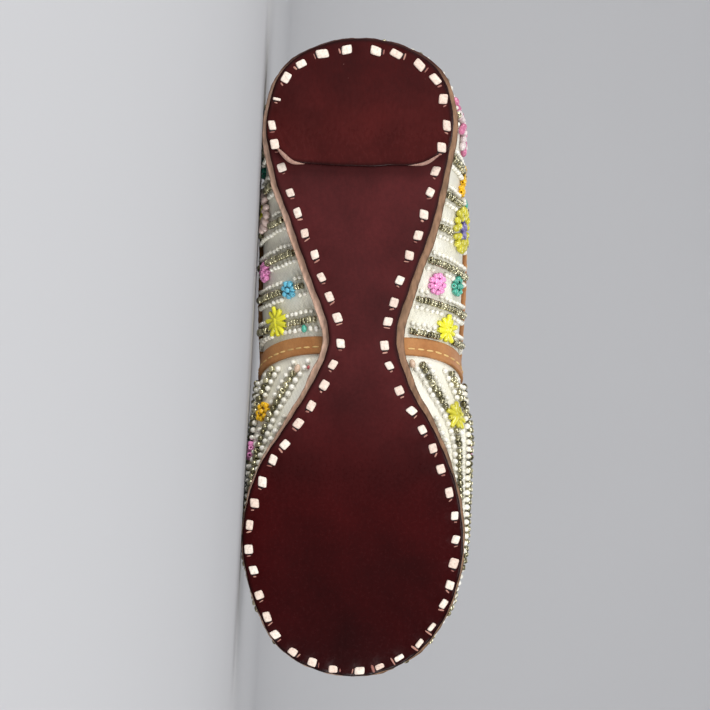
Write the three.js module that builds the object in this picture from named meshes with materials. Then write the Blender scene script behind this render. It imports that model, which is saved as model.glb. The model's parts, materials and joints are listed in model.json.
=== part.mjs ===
// A mojari, the embroidered flat slipper of northern India and Pakistan, for the left foot.
// The shoe lies on its outer side: the long edge of the sole and the side of the upper are
// both on the floor, and the sole looks towards -Y.
//
// The pieces are worked out in the shoe's own frame, in millimetres: x runs from the back of
// the heel to the toe, y to the outer side, z up from the tread. At the end the whole shoe is
// laid on its side and set down on z = 0.

import * as THREE from 'three';

// Driving dimensions.

const SOLE_LENGTH = 250;
const OUTSOLE_THICKNESS = 3.5;
const LIFT_THICKNESS = 3.5;
const LIFT_LENGTH = 48;
const LIFT_FRONT_BOW = 2.5;
const LIFT_INSET = 0.4;
const WELT_THICKNESS = 2.5;
const INSOLE_THICKNESS = 2.5;
const WALL = 2.2;
const GAP = 0.3;

const WAIST_START = 50; // the tread leaves the level of the heel here
const WAIST_END = 150; // and reaches the level of the forefoot here
const TOE_SPRING_START = 205;
const TOE_SPRING = 6;

const UPPER_INSET = 0.9; // from the edge of the welt to the outside of the upper
const WIDEST_FOOT_RIM = 3.6; // the upper's bottom edge, where the wall leans out most

const STRAP_REAR = 116.5; // where the side straps leave the sole
const STRAP_FRONT = 124;
const STRAP_THICKNESS = 1.2;
const STRAP_FOOT = 0.05; // as a share of the wall's height
const STRAP_HEAD = 0.86;

const BINDING_DEPTH = 4.5;
const BINDING_THICKNESS = 0.9;
const BINDING_GAP = 0.45;

const BALANCE_POINT = new THREE.Vector3(122, 0, 17);

const WALL_COLUMNS = 108; // facets around the upper
const WALL_ROWS = 12; // facets from the sole to the topline
const PLATE_STATIONS = 52; // facets from heel to toe on the flat pieces

// Half widths of the outsole, at distances x from the back of the heel.

const SOLE_WIDTHS = [
  { x: 10, outer: 27.8, inner: 28.6 },
  { x: 30, outer: 36.3, inner: 36.9 },
  { x: 50, outer: 34.2, inner: 34.3 },
  { x: 75, outer: 25.3, inner: 28.7 },
  { x: 95, outer: 17.8, inner: 21.6 },
  { x: 117, outer: 10.4, inner: 16.1 },
  { x: 135, outer: 16.7, inner: 21.2 },
  { x: 150, outer: 25.7, inner: 29.8 },
  { x: 165, outer: 35.4, inner: 37.1 },
  { x: 180, outer: 41.0, inner: 41.6 },
  { x: 195, outer: 43.1, inner: 43.4 },
  { x: 210, outer: 41.3, inner: 41.9 },
  { x: 225, outer: 36.4, inner: 36.8 },
  { x: 240, outer: 27.2, inner: 26.2 },
];

// How far the welt shows beyond the outsole.

const WELT_MARGINS = [
  { x: 0, margin: 0.8 },
  { x: 30, margin: 1.6 },
  { x: 60, margin: 2.3 },
  { x: 105, margin: 2.8 },
  { x: 140, margin: 2.1 },
  { x: 165, margin: 0.8 },
  { x: 195, margin: 0.6 },
  { x: 250, margin: 0.5 },
];

// One row for each section of the wall: foot is where it leaves the sole, and topX, topOuter,
// topInner and topZ are where it reaches the topline. The wall sets off outwards by footOut and
// footUp, and comes in to the topline from topAhead, topSide and topDrop away.

const WALL_SECTIONS = [
  { foot: 0, topX: 5, topOuter: 0, topInner: 0, topZ: 60, footOut: 5, footUp: 17, topAhead: -1, topSide: 0, topDrop: 18 },
  { foot: 8, topX: 10, topOuter: 16, topInner: 17, topZ: 59.3, footOut: 4.5, footUp: 17, topAhead: -1, topSide: 1, topDrop: 18 },
  { foot: 30, topX: 31, topOuter: 33.5, topInner: 36.5, topZ: 55.5, footOut: 4, footUp: 16, topAhead: -0.5, topSide: 1.5, topDrop: 17 },
  { foot: 55, topX: 54.5, topOuter: 37.6, topInner: 38.2, topZ: 50.8, footOut: 8, footUp: 15, topAhead: 0, topSide: 4, topDrop: 15 },
  { foot: 72, topX: 70, topOuter: 40.0, topInner: 40.0, topZ: 48.2, footOut: 12.5, footUp: 14, topAhead: 0, topSide: 3.6, topDrop: 14 },
  { foot: 90, topX: 89, topOuter: 40.6, topInner: 41.4, topZ: 46.5, footOut: 17, footUp: 14, topAhead: 0, topSide: 1.5, topDrop: 13 },
  { foot: 105, topX: 109, topOuter: 40.4, topInner: 40.6, topZ: 46, footOut: 22, footUp: 14, topAhead: -1, topSide: 2, topDrop: 13 },
  { foot: 117, topX: 128.5, topOuter: 39.0, topInner: 39.0, topZ: 46.5, footOut: 25, footUp: 14, topAhead: -1.5, topSide: 4, topDrop: 13 },
  { foot: 125, topX: 138, topOuter: 37.3, topInner: 37.1, topZ: 47.3, footOut: 26, footUp: 14, topAhead: 0, topSide: 8.5, topDrop: 13 },
  { foot: 145, topX: 151.5, topOuter: 31, topInner: 31, topZ: 49, footOut: 24, footUp: 14, topAhead: 3, topSide: 17.5, topDrop: 11 },
  { foot: 170, topX: 159.3, topOuter: 22.5, topInner: 22.5, topZ: 50.2, footOut: 12, footUp: 17, topAhead: 12, topSide: 23, topDrop: 9 },
  { foot: 195, topX: 162.8, topOuter: 15.5, topInner: 15.5, topZ: 50.6, footOut: 5, footUp: 18, topAhead: 24, topSide: 22, topDrop: 8 },
  { foot: 225, topX: 164.4, topOuter: 8.5, topInner: 8.5, topZ: 50.9, footOut: 4, footUp: 15, topAhead: 36, topSide: 15, topDrop: 9 },
  { foot: 240, topX: 164.9, topOuter: 4.2, topInner: 4.2, topZ: 51, footOut: 3, footUp: 13, topAhead: 42, topSide: 8, topDrop: 9.5 },
  { foot: 250, topX: 165, topOuter: 0, topInner: 0, topZ: 51, footOut: 2.5, footUp: 12, topAhead: 45, topSide: 0, topDrop: 10 },
];

// Curves.

// A smooth curve through (u, v) pairs: cubic pieces whose slopes come from the neighbours.
function curveThrough(pairs) {
  const last = pairs.length - 1;
  const slope = (i) => {
    const [before, after] = [pairs[Math.max(i - 1, 0)], pairs[Math.min(i + 1, last)]];
    return (after[1] - before[1]) / (after[0] - before[0]);
  };
  return (u) => {
    let i = 0;
    while (i < last - 1 && u > pairs[i + 1][0]) i += 1;
    const [u0, v0] = pairs[i];
    const [u1, v1] = pairs[i + 1];
    const span = u1 - u0;
    const t = THREE.MathUtils.clamp((u - u0) / span, 0, 1);
    const [t2, t3] = [t * t, t * t * t];
    return (2 * t3 - 3 * t2 + 1) * v0 + (t3 - 2 * t2 + t) * span * slope(i)
      + (3 * t2 - 2 * t3) * v1 + (t3 - t2) * span * slope(i + 1);
  };
}

// Every piece is laid out along one angle: 0 is the back of the heel, PI the tip of the toe.
// The outer side runs from 0 to PI, the inner side from PI on to 2 PI.
const angleAt = (x) => Math.acos(1 - 2 * x / SOLE_LENGTH);
const distanceAt = (angle) => SOLE_LENGTH * (1 - Math.cos(angle)) / 2;
const foldedAngle = (angle) => (angle <= Math.PI ? angle : 2 * Math.PI - angle);
const isOuter = (angle) => angle <= Math.PI;

function columnCurve(rows, key, column) {
  return curveThrough(rows.map((row) => [angleAt(row[key]), row[column]]));
}

function widthCurve(column) {
  const pairs = SOLE_WIDTHS.map((row) => [angleAt(row.x), row[column]]);
  return curveThrough([[0, 0], ...pairs, [Math.PI, 0]]);
}

const soleWidth = { outer: widthCurve('outer'), inner: widthCurve('inner') };
const weltMargin = columnCurve(WELT_MARGINS, 'x', 'margin');

const sectionCurves = {};
for (const column of Object.keys(WALL_SECTIONS[0])) {
  sectionCurves[column] = columnCurve(WALL_SECTIONS, 'foot', column);
}

// The sole.

function treadHeight(x) {
  const heel = LIFT_THICKNESS + GAP;
  const waist = 1 - THREE.MathUtils.smoothstep(x, WAIST_START, WAIST_END);
  const spring = Math.max(0, x - TOE_SPRING_START) / (SOLE_LENGTH - TOE_SPRING_START);
  return heel * waist + TOE_SPRING * spring * spring;
}

const weltBottom = (x) => treadHeight(x) + OUTSOLE_THICKNESS + GAP;
const weltTop = (x) => weltBottom(x) + WELT_THICKNESS;
const upperBottom = (x) => weltTop(x) + GAP;

function solePoint(angle) {
  const folded = foldedAngle(angle);
  const side = isOuter(angle) ? 1 : -1;
  const width = soleWidth[isOuter(angle) ? 'outer' : 'inner'](folded);
  return new THREE.Vector2(distanceAt(folded), side * width);
}

const wrap = (angle) => (angle + 2 * Math.PI) % (2 * Math.PI);

function soleNormal(angle) {
  const step = 0.02;
  const along = solePoint(wrap(angle + step)).sub(solePoint(wrap(angle - step)));
  return new THREE.Vector2(-along.y, along.x).normalize();
}

// A point at a margin outside the sole's outline, or inside it where the margin is negative.
const edgePoint = (angle, margin) => solePoint(angle).addScaledVector(soleNormal(angle), margin);

// The wall of the upper.

const weltEdge = (angle) => weltMargin(foldedAngle(angle));
const upperFoot = (angle) => weltEdge(angle) - UPPER_INSET;

// The way the wall leans out at its foot: square to an oval as long and as wide as the shoe.
function leanDirection(angle) {
  const folded = foldedAngle(angle);
  const side = isOuter(angle) ? 1 : -1;
  const slenderness = 0.34;
  return new THREE.Vector3(-Math.cos(folded) * slenderness, side * Math.sin(folded), 0).normalize();
}

function wallPoint(angle, height) {
  const folded = foldedAngle(angle);
  const side = isOuter(angle) ? 1 : -1;
  const at = (column) => sectionCurves[column](folded);
  const plan = edgePoint(angle, upperFoot(angle));
  const foot = new THREE.Vector3(plan.x, plan.y, upperBottom(plan.x));
  const top = new THREE.Vector3(at('topX'), side * at(isOuter(angle) ? 'topOuter' : 'topInner'), at('topZ'));
  const low = foot.clone().addScaledVector(leanDirection(angle), at('footOut'));
  low.z += at('footUp');
  const high = top.clone().add(new THREE.Vector3(at('topAhead'), side * at('topSide'), -at('topDrop')));
  return new THREE.CubicBezierCurve3(foot, low, high, top).getPoint(height);
}

function wallNormal(angle, height) {
  const step = 0.01;
  const along = wallPoint(wrap(angle + step), height).sub(wallPoint(wrap(angle - step), height));
  const up = wallPoint(angle, Math.min(height + step, 1)).sub(wallPoint(angle, Math.max(height - step, 0)));
  return up.cross(along).normalize();
}

// The upper's bottom edge lies flat on the welt, and is wider where the wall leans out.
function footRim(angle) {
  const flat = soleNormal(angle);
  const normal = wallNormal(angle, 0);
  const upright = Math.max(normal.x * flat.x + normal.y * flat.y, 0.1);
  return Math.min(WALL / upright, WIDEST_FOOT_RIM);
}

function innerWallPoint(angle, height) {
  const flat = soleNormal(angle);
  const atFoot = new THREE.Vector3(flat.x, flat.y, 0).multiplyScalar(footRim(angle));
  const square = wallNormal(angle, height).multiplyScalar(WALL);
  const inward = atFoot.lerp(square, THREE.MathUtils.smoothstep(height, 0, 0.25));
  return wallPoint(angle, height).sub(inward);
}

// Solids.

function solid(name, points, faces, material) {
  const positions = points.flatMap((point) => [point.x, point.y, point.z]);
  const volume = faces.reduce((sum, [a, b, c]) => (
    sum + points[a].dot(points[b].clone().cross(points[c])) / 6
  ), 0);
  const outward = volume > 0 ? faces : faces.map(([a, b, c]) => [a, c, b]);
  const geometry = new THREE.BufferGeometry();
  geometry.setAttribute('position', new THREE.Float32BufferAttribute(positions, 3));
  geometry.setIndex(outward.flat());
  geometry.computeVertexNormals();
  const mesh = new THREE.Mesh(geometry, material);
  mesh.name = name;
  return mesh;
}

// A flat piece between two heights, from a plan(station, across) whose first station is one
// point. Its last station is one point too, unless the piece is cut off straight there.
function plate(name, plan, bottom, top, options) {
  const { stations, crosswise, cutOff, material } = options;
  const points = [];
  const layers = [bottom, top].map((heightAt) => {
    const rows = [];
    for (let i = 0; i <= stations; i += 1) {
      const isTip = i === 0 || (i === stations && !cutOff);
      const row = [];
      for (let j = 0; j <= (isTip ? 0 : crosswise); j += 1) {
        const { x, y } = plan(i / stations, isTip ? 0.5 : j / crosswise);
        row.push(points.push(new THREE.Vector3(x, y, heightAt(x))) - 1);
      }
      rows.push(isTip ? Array(crosswise + 1).fill(row[0]) : row);
    }
    return rows;
  });
  const faces = [];
  const quad = (a, b, c, d) => faces.push([a, b, c], [a, c, d]);
  for (let i = 0; i < stations; i += 1) {
    for (let j = 0; j < crosswise; j += 1) {
      const [low, high] = layers;
      quad(low[i][j], low[i][j + 1], low[i + 1][j + 1], low[i + 1][j]);
      quad(high[i][j], high[i + 1][j], high[i + 1][j + 1], high[i][j + 1]);
    }
    for (const j of [0, crosswise]) {
      const [a, b, c, d] = [layers[0][i][j], layers[0][i + 1][j], layers[1][i + 1][j], layers[1][i][j]];
      if (j === 0) quad(a, b, c, d);
      else quad(a, d, c, b);
    }
  }
  if (cutOff) {
    for (let j = 0; j < crosswise; j += 1) {
      const [low, high] = [layers[0][stations], layers[1][stations]];
      quad(low[j], low[j + 1], high[j + 1], high[j]);
    }
  }
  const whole = faces.filter(([a, b, c]) => a !== b && b !== c && c !== a);
  return solid(name, points, whole, material);
}

// A grid of points, faces between its neighbours, with either direction closed on itself.
function gridFaces(columns, rows, closedColumns, closedRows) {
  const index = (i, j) => (i % columns) * rows + (j % rows);
  const faces = [];
  for (let i = 0; i < (closedColumns ? columns : columns - 1); i += 1) {
    for (let j = 0; j < (closedRows ? rows : rows - 1); j += 1) {
      const [a, b, c, d] = [index(i, j), index(i + 1, j), index(i + 1, j + 1), index(i, j + 1)];
      faces.push([a, b, c], [a, c, d]);
    }
  }
  return faces;
}

// A section of points swept around the whole shoe.
function ring(name, sectionAt, material) {
  const sections = [];
  for (let i = 0; i < WALL_COLUMNS; i += 1) {
    sections.push(sectionAt(2 * Math.PI * i / WALL_COLUMNS));
  }
  const faces = gridFaces(WALL_COLUMNS, sections[0].length, true, true);
  return solid(name, sections.flat(), faces, material);
}

// A piece of even thickness that lies on the wall between two angles and two heights.
function overlay(name, angles, heights, material) {
  const [columns, rows] = [4, 10];
  const sections = [];
  for (let i = 0; i <= columns; i += 1) {
    const angle = THREE.MathUtils.lerp(angles[0], angles[1], i / columns);
    const layer = (off) => Array.from({ length: rows + 1 }, (_, j) => {
      const height = THREE.MathUtils.lerp(heights[0], heights[1], j / rows);
      return wallPoint(angle, height).addScaledVector(wallNormal(angle, height), off);
    });
    sections.push([...layer(GAP), ...layer(GAP + STRAP_THICKNESS).reverse()]);
  }
  const size = sections[0].length;
  const faces = gridFaces(columns + 1, size, false, true);
  const end = (first) => {
    for (let j = 0; j < rows; j += 1) {
      const [a, b] = [first + j, first + j + 1];
      const [c, d] = [first + size - 2 - j, first + size - 1 - j];
      const cap = [[a, b, c], [a, c, d]];
      faces.push(...(first === 0 ? cap : cap.map(([p, q, r]) => [p, r, q])));
    }
  };
  end(0);
  end(columns * size);
  return solid(name, sections.flat(), faces, material);
}

// Materials.

const soleLeather = new THREE.MeshStandardMaterial({ color: 0x4a141b, roughness: 0.35 });
const liftLeather = new THREE.MeshStandardMaterial({ color: 0x4e1a1d, roughness: 0.5 });
const weltLeather = new THREE.MeshStandardMaterial({ color: 0xa58a76, roughness: 0.8 });
const insoleLeather = new THREE.MeshStandardMaterial({ color: 0xb98f66, roughness: 0.7 });
const creamCloth = new THREE.MeshStandardMaterial({ color: 0xe2e0d2, roughness: 0.85 });
const tanLeather = new THREE.MeshStandardMaterial({ color: 0xaf784b, roughness: 0.55 });

// Pieces.

function acrossSole(marginAt) {
  return (station, across) => {
    const angle = Math.PI * station;
    const outer = edgePoint(angle, marginAt(angle));
    const inner = edgePoint(wrap(2 * Math.PI - angle), marginAt(2 * Math.PI - angle));
    return outer.lerp(inner, across);
  };
}

function makeOutsole() {
  const options = { stations: PLATE_STATIONS, crosswise: 2, material: soleLeather };
  const top = (x) => treadHeight(x) + OUTSOLE_THICKNESS;
  return plate('outsole', acrossSole(() => 0), treadHeight, top, options);
}

function makeHeelLift() {
  const whole = acrossSole(() => -LIFT_INSET);
  const share = angleAt(LIFT_LENGTH) / Math.PI;
  const plan = (station, across) => {
    const bow = LIFT_FRONT_BOW * station ** 4 * 4 * across * (1 - across);
    return whole(share * station, across).add(new THREE.Vector2(bow, 0));
  };
  const options = { stations: 16, crosswise: 6, cutOff: true, material: liftLeather };
  return plate('heel_lift', plan, () => 0, () => LIFT_THICKNESS, options);
}

function makeWelt() {
  const options = { stations: PLATE_STATIONS, crosswise: 2, material: weltLeather };
  return plate('welt', acrossSole(weltEdge), weltBottom, weltTop, options);
}

function makeInsole() {
  const margin = (angle) => upperFoot(angle) - footRim(wrap(angle)) - GAP;
  const options = { stations: PLATE_STATIONS, crosswise: 2, material: insoleLeather };
  const top = (x) => upperBottom(x) + INSOLE_THICKNESS;
  return plate('insole', acrossSole(margin), upperBottom, top, options);
}

function makeUpper() {
  const heights = Array.from({ length: WALL_ROWS + 1 }, (_, j) => (
    (1 - Math.cos(Math.PI * j / WALL_ROWS)) / 2 // closer together at the foot and the topline
  ));
  const section = (angle) => [
    ...heights.map((height) => wallPoint(angle, height)),
    ...heights.map((height) => innerWallPoint(angle, height)).reverse(),
  ];
  return ring('upper', section, creamCloth);
}

function makeSideStrap(name, side) {
  const angles = [angleAt(STRAP_REAR), angleAt(STRAP_FRONT)];
  const onSide = side > 0 ? angles : angles.map((angle) => 2 * Math.PI - angle);
  return overlay(name, onSide, [STRAP_FOOT, STRAP_HEAD], tanLeather);
}

// A folded strip over the topline: down the outside, across the edge and down the inside.
function makeBinding() {
  const section = (angle) => {
    const top = wallPoint(angle, 1);
    const slope = wallPoint(angle, 1).sub(wallPoint(angle, 0.99)).length() / 0.01;
    const low = 1 - BINDING_DEPTH / slope;
    const up = wallPoint(angle, 1).sub(wallPoint(angle, 0.97)).normalize();
    const outside = (height, off) => (
      wallPoint(angle, height).addScaledVector(wallNormal(angle, height), off)
    );
    const inside = (height, off) => outside(height, -WALL - off);
    const [near, far] = [BINDING_GAP, BINDING_GAP + BINDING_THICKNESS];
    const against = [
      outside(low, near), outside(1, near).addScaledVector(up, near),
      inside(1, near).addScaledVector(up, near), inside(low, near),
    ];
    const away = [
      inside(low, far), inside(1, far).addScaledVector(up, far),
      outside(1, far).addScaledVector(up, far), outside(low, far),
    ];
    return [...against, ...away];
  };
  return ring('collar_binding', section, tanLeather);
}

// Setting the shoe down on its outer side.

// The three points that the shoe rests on: of all planes that touch its outer side from
// outside, the one that passes closest to the balance point. The search swaps in the point
// that sticks out furthest until none does.
function restingPoints(points, balance) {
  const area = (a, b, c) => (b.x - a.x) * (c.z - a.z) - (c.x - a.x) * (b.z - a.z);
  const holdsBalance = ([a, b, c]) => {
    const [p, q, r] = [area(a, b, balance), area(b, c, balance), area(c, a, balance)];
    return (p >= 0 && q >= 0 && r >= 0) || (p <= 0 && q <= 0 && r <= 0);
  };
  const far = [[-1, -1], [1, -1], [0, 1]].map(([x, z]) => new THREE.Vector3(1e4 * x, -1e7, 1e4 * z));
  let rest = far;
  for (;;) {
    const plane = new THREE.Plane().setFromCoplanarPoints(...rest);
    if (plane.normal.y < 0) plane.negate();
    const height = (point) => plane.distanceToPoint(point);
    const furthest = points.reduce((best, point) => (height(point) > height(best) ? point : best));
    if (height(furthest) < 1e-6) return { rest, plane };
    rest = rest.map((_, i) => rest.map((point, j) => (i === j ? furthest : point))).find(holdsBalance);
  }
}

function layOnOuterSide(shoe) {
  const points = [];
  for (const mesh of shoe.children) {
    const position = mesh.geometry.getAttribute('position');
    for (let i = 0; i < position.count; i += 1) {
      points.push(new THREE.Vector3().fromBufferAttribute(position, i));
    }
  }
  const down = restingPoints(points, BALANCE_POINT).plane.normal;
  const toe = new THREE.Vector3(1, 0, 0).addScaledVector(down, -down.x).normalize();
  const away = new THREE.Vector3().crossVectors(toe, down);
  const laid = new THREE.Matrix4().makeBasis(toe, away, down.clone().negate()).transpose();
  shoe.quaternion.setFromRotationMatrix(laid);
  shoe.updateMatrixWorld(true);
  const box = new THREE.Box3().setFromObject(shoe, true);
  const middle = box.getCenter(new THREE.Vector3());
  shoe.position.set(-middle.x, -middle.y, -box.min.z);
}

const shoe = new THREE.Group();
shoe.add(makeOutsole());
shoe.add(makeHeelLift());
shoe.add(makeWelt());
shoe.add(makeInsole());
shoe.add(makeUpper());
shoe.add(makeSideStrap('side_strap_outer', 1));
shoe.add(makeSideStrap('side_strap_inner', -1));
shoe.add(makeBinding());
layOnOuterSide(shoe);

export default shoe;
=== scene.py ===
# %% [markdown]
# # A mojari, lying on its side
# A mojari is the flat embroidered slipper of northern India and Pakistan. Its sole is dyed leather,
# sewn on through its edge with a raw hide thong, and its upper is cotton cloth covered with rows of
# pearls and seed beads. This lesson dresses a plain model of one, whose pieces are already in place.
# The model fixes every size. We read its frame first, because each piece that we add rides on it.

# %% Load the plain model
import json
import math

import bpy
import numpy as np
from mathutils import Matrix, Vector

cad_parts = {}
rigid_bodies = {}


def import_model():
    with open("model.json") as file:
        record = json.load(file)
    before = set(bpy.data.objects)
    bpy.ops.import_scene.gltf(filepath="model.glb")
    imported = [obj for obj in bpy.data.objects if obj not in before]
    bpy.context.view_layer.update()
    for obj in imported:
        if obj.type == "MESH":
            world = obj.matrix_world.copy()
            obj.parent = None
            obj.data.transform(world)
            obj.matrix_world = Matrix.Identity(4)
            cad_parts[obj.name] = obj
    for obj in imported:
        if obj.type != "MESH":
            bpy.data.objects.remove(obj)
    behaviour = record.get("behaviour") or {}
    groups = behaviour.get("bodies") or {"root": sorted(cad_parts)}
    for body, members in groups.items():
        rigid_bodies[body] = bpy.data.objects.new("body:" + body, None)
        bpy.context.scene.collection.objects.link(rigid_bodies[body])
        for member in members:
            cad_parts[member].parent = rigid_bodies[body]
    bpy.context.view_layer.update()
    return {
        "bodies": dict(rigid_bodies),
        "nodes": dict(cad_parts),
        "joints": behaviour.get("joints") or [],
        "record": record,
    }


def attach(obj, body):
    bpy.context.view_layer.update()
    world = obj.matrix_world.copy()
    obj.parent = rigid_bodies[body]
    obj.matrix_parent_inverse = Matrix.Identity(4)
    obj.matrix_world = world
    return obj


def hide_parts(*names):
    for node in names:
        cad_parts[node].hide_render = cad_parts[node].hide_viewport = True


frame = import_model()
print("plain model:", sorted(frame["nodes"]))

# %% [markdown]
# ## The shoe's own directions
# The shoe lies tilted, so its sole is square to no axis of the room. A shoemaker measures from the
# back of the heel, to the outer side, and up from the tread, and so do we, in millimetres. The two
# flat spots of the tread that the model's record gives say where those three directions point.

# %% Find heel, toe and tread
MM = 0.001
HEEL_SPOT = (20.3, 6.0)  # the heel's flat spot: from the back of the heel, and to the outer side


def unit(vectors):
    """The same directions, each of length 1."""
    return vectors / np.linalg.norm(vectors, axis=-1, keepdims=True)


spots = {mount["name"]: mount for mount in frame["record"]["mounts"]}
heel_spot = np.array(spots["heel_tread"]["pos_m"])
ball_spot = np.array(spots["forefoot_tread"]["pos_m"])
shoe_up = unit(-np.array(spots["heel_tread"]["axis"]))
heel_to_ball = ball_spot - heel_spot
shoe_toe = unit(heel_to_ball - shoe_up * (heel_to_ball @ shoe_up))
shoe_outer = np.cross(shoe_up, shoe_toe)
shoe_axes = np.array([shoe_toe, shoe_outer, shoe_up])
heel_back = heel_spot - MM * (HEEL_SPOT[0] * shoe_toe + HEEL_SPOT[1] * shoe_outer)


def place(points):
    """Points in the shoe's millimetres, as points in the room's metres."""
    return heel_back + np.asarray(points, float) @ shoe_axes * MM


def turned(directions):
    """Directions in the shoe, as directions in the room."""
    return np.asarray(directions, float) @ shoe_axes


print("the sole looks", np.round(-shoe_up, 3), "and the toe points", np.round(shoe_toe, 3))

# %% [markdown]
# ## The last, as curves
# A shoe is built round a last. Ours is a short table of widths for the sole, and one of sections for
# the wall of the upper, with a smooth curve through each column. It is the model's own shape, so what
# we lay on it touches it everywhere. Scanning or sculpting would give a shape, but no way to ask it
# where the wall is, and every bead needs that answer.

# %% Tables of the last
SOLE_LENGTH = 250.0
OUTSOLE_THICKNESS = 3.5
LIFT_THICKNESS = 3.5
LIFT_LENGTH = 48.0
WELT_THICKNESS = 2.5
INSOLE_THICKNESS = 2.5
WALL = 2.2
GAP = 0.3
WAIST_START, WAIST_END = 50.0, 150.0
TOE_SPRING_START = 205.0
TOE_SPRING = 6.0
UPPER_INSET = 0.9
WIDEST_FOOT_RIM = 3.6


def table(names, *rows):
    """A short table, whose columns are then read by name."""
    return dict(zip(names.split(), np.array(rows, float).T))


SOLE_WIDTHS = table(
    "x outer inner",
    (0, 0, 0), (10, 27.8, 28.6), (30, 36.3, 36.9), (50, 34.2, 34.3), (75, 25.3, 28.7),
    (95, 17.8, 21.6), (117, 10.4, 16.1), (135, 16.7, 21.2), (150, 25.7, 29.8), (165, 35.4, 37.1),
    (180, 41.0, 41.6), (195, 43.1, 43.4), (210, 41.3, 41.9), (225, 36.4, 36.8), (240, 27.2, 26.2),
    (250, 0, 0),
)
WELT_MARGINS = table(
    "x margin",
    (0, 0.8), (30, 1.6), (60, 2.3), (105, 2.8), (140, 2.1), (165, 0.8), (195, 0.6), (250, 0.5),
)
WALL_SECTIONS = table(
    "foot topX topOuter topInner topZ footOut footUp topAhead topSide topDrop",
    (0, 5, 0, 0, 60, 5, 17, -1, 0, 18),
    (8, 10, 16, 17, 59.3, 4.5, 17, -1, 1, 18),
    (30, 31, 33.5, 36.5, 55.5, 4, 16, -0.5, 1.5, 17),
    (55, 54.5, 37.6, 38.2, 50.8, 8, 15, 0, 4, 15),
    (72, 70, 40.0, 40.0, 48.2, 12.5, 14, 0, 3.6, 14),
    (90, 89, 40.6, 41.4, 46.5, 17, 14, 0, 1.5, 13),
    (105, 109, 40.4, 40.6, 46, 22, 14, -1, 2, 13),
    (117, 128.5, 39.0, 39.0, 46.5, 25, 14, -1.5, 4, 13),
    (125, 138, 37.3, 37.1, 47.3, 26, 14, 0, 8.5, 13),
    (145, 151.5, 31, 31, 49, 24, 14, 3, 17.5, 11),
    (170, 159.3, 22.5, 22.5, 50.2, 12, 17, 12, 23, 9),
    (195, 162.8, 15.5, 15.5, 50.6, 5, 18, 24, 22, 8),
    (225, 164.4, 8.5, 8.5, 50.9, 4, 15, 36, 15, 9),
    (240, 164.9, 4.2, 4.2, 51, 3, 13, 42, 8, 9.5),
    (250, 165, 0, 0, 51, 2.5, 12, 45, 0, 10),
)
print("sections:", len(SOLE_WIDTHS["x"]), "of the sole and", len(WALL_SECTIONS["foot"]), "of the wall")

# %% Curves through the tables


def curve_through(u, v):
    """A smooth curve through points: cubic pieces whose slopes come from the neighbours."""
    before = np.maximum(np.arange(len(u)) - 1, 0)
    after = np.minimum(np.arange(len(u)) + 1, len(u) - 1)
    slope = (v[after] - v[before]) / (u[after] - u[before])

    def at(w):
        w = np.asarray(w, float)
        i = np.clip(np.searchsorted(u, w) - 1, 0, len(u) - 2)
        span = u[i + 1] - u[i]
        t = np.clip((w - u[i]) / span, 0, 1)
        ends = (2 * t**3 - 3 * t**2 + 1) * v[i] + (3 * t**2 - 2 * t**3) * v[i + 1]
        return ends + ((t**3 - 2 * t**2 + t) * slope[i] + (t**3 - t**2) * slope[i + 1]) * span

    return at


def smoothstep(value, start, end):
    """0 before start, 1 after end, and a soft rise between."""
    t = np.clip((np.asarray(value, float) - start) / (end - start), 0, 1)
    return t * t * (3 - 2 * t)


def reach_along(points):
    """How far along its line of points each one is."""
    steps = np.linalg.norm(np.diff(points, axis=-2), axis=-1)
    return np.concatenate([np.zeros((*steps.shape[:-1], 1)), np.cumsum(steps, axis=-1)], -1)


# Angle 0 is the back of the heel, pi the tip of the toe. The outer side runs from 0 to pi and the
# inner side from pi on to 2 pi.
def angle_at(x):
    """The angle of the places at this distance from the back of the heel."""
    return np.arccos(np.clip(1 - 2 * np.asarray(x, float) / SOLE_LENGTH, -1, 1))


def folded(angle):
    """The same place on the outer side, and 1 for the outer side or -1 for the inner one."""
    angle = np.mod(angle, 2 * np.pi)
    return np.where(angle <= np.pi, angle, 2 * np.pi - angle), np.where(angle <= np.pi, 1.0, -1.0)


def columns_by_angle(rows, key):
    """A curve through each column of a table, read by angle."""
    return {name: curve_through(angle_at(rows[key]), rows[name]) for name in rows if name != key}


sole_width = columns_by_angle(SOLE_WIDTHS, "x")
welt_margin = columns_by_angle(WELT_MARGINS, "x")["margin"]
wall_column = columns_by_angle(WALL_SECTIONS, "foot")
heel_width = sum(curve(angle_at(30.0)) for curve in sole_width.values())
print("the sole is", round(float(heel_width)), "mm wide at the heel")

# %% The sole as a function


def tread_height(x):
    """How high the outsole's underside is: on the lift at the heel, then flat, then rising."""
    spring = np.maximum(0, x - TOE_SPRING_START) / (SOLE_LENGTH - TOE_SPRING_START)
    waist = 1 - smoothstep(x, WAIST_START, WAIST_END)
    return (LIFT_THICKNESS + GAP) * waist + TOE_SPRING * spring**2


def welt_bottom(x):
    return tread_height(x) + OUTSOLE_THICKNESS + GAP


def upper_bottom(x):
    return welt_bottom(x) + WELT_THICKNESS + GAP


def sole_point(angle):
    """A point of the sole's outline, seen from above."""
    half, side = folded(angle)
    width = np.where(side > 0, sole_width["outer"](half), sole_width["inner"](half))
    return np.stack([SOLE_LENGTH * (1 - np.cos(half)) / 2, side * width], -1)


def sole_normal(angle):
    """Square out of the outline."""
    step = 0.02
    along = sole_point(angle + step) - sole_point(angle - step)
    return unit(np.stack([-along[..., 1], along[..., 0]], -1))


def edge_point(angle, margin):
    """A point of the plan at a margin outside the sole's outline, or inside it if that is negative."""
    return sole_point(angle) + sole_normal(angle) * np.asarray(margin)[..., None]


print("tread heights at heel, ball and toe:", np.round(tread_height(np.array([20, 180, 250])), 2))

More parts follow.
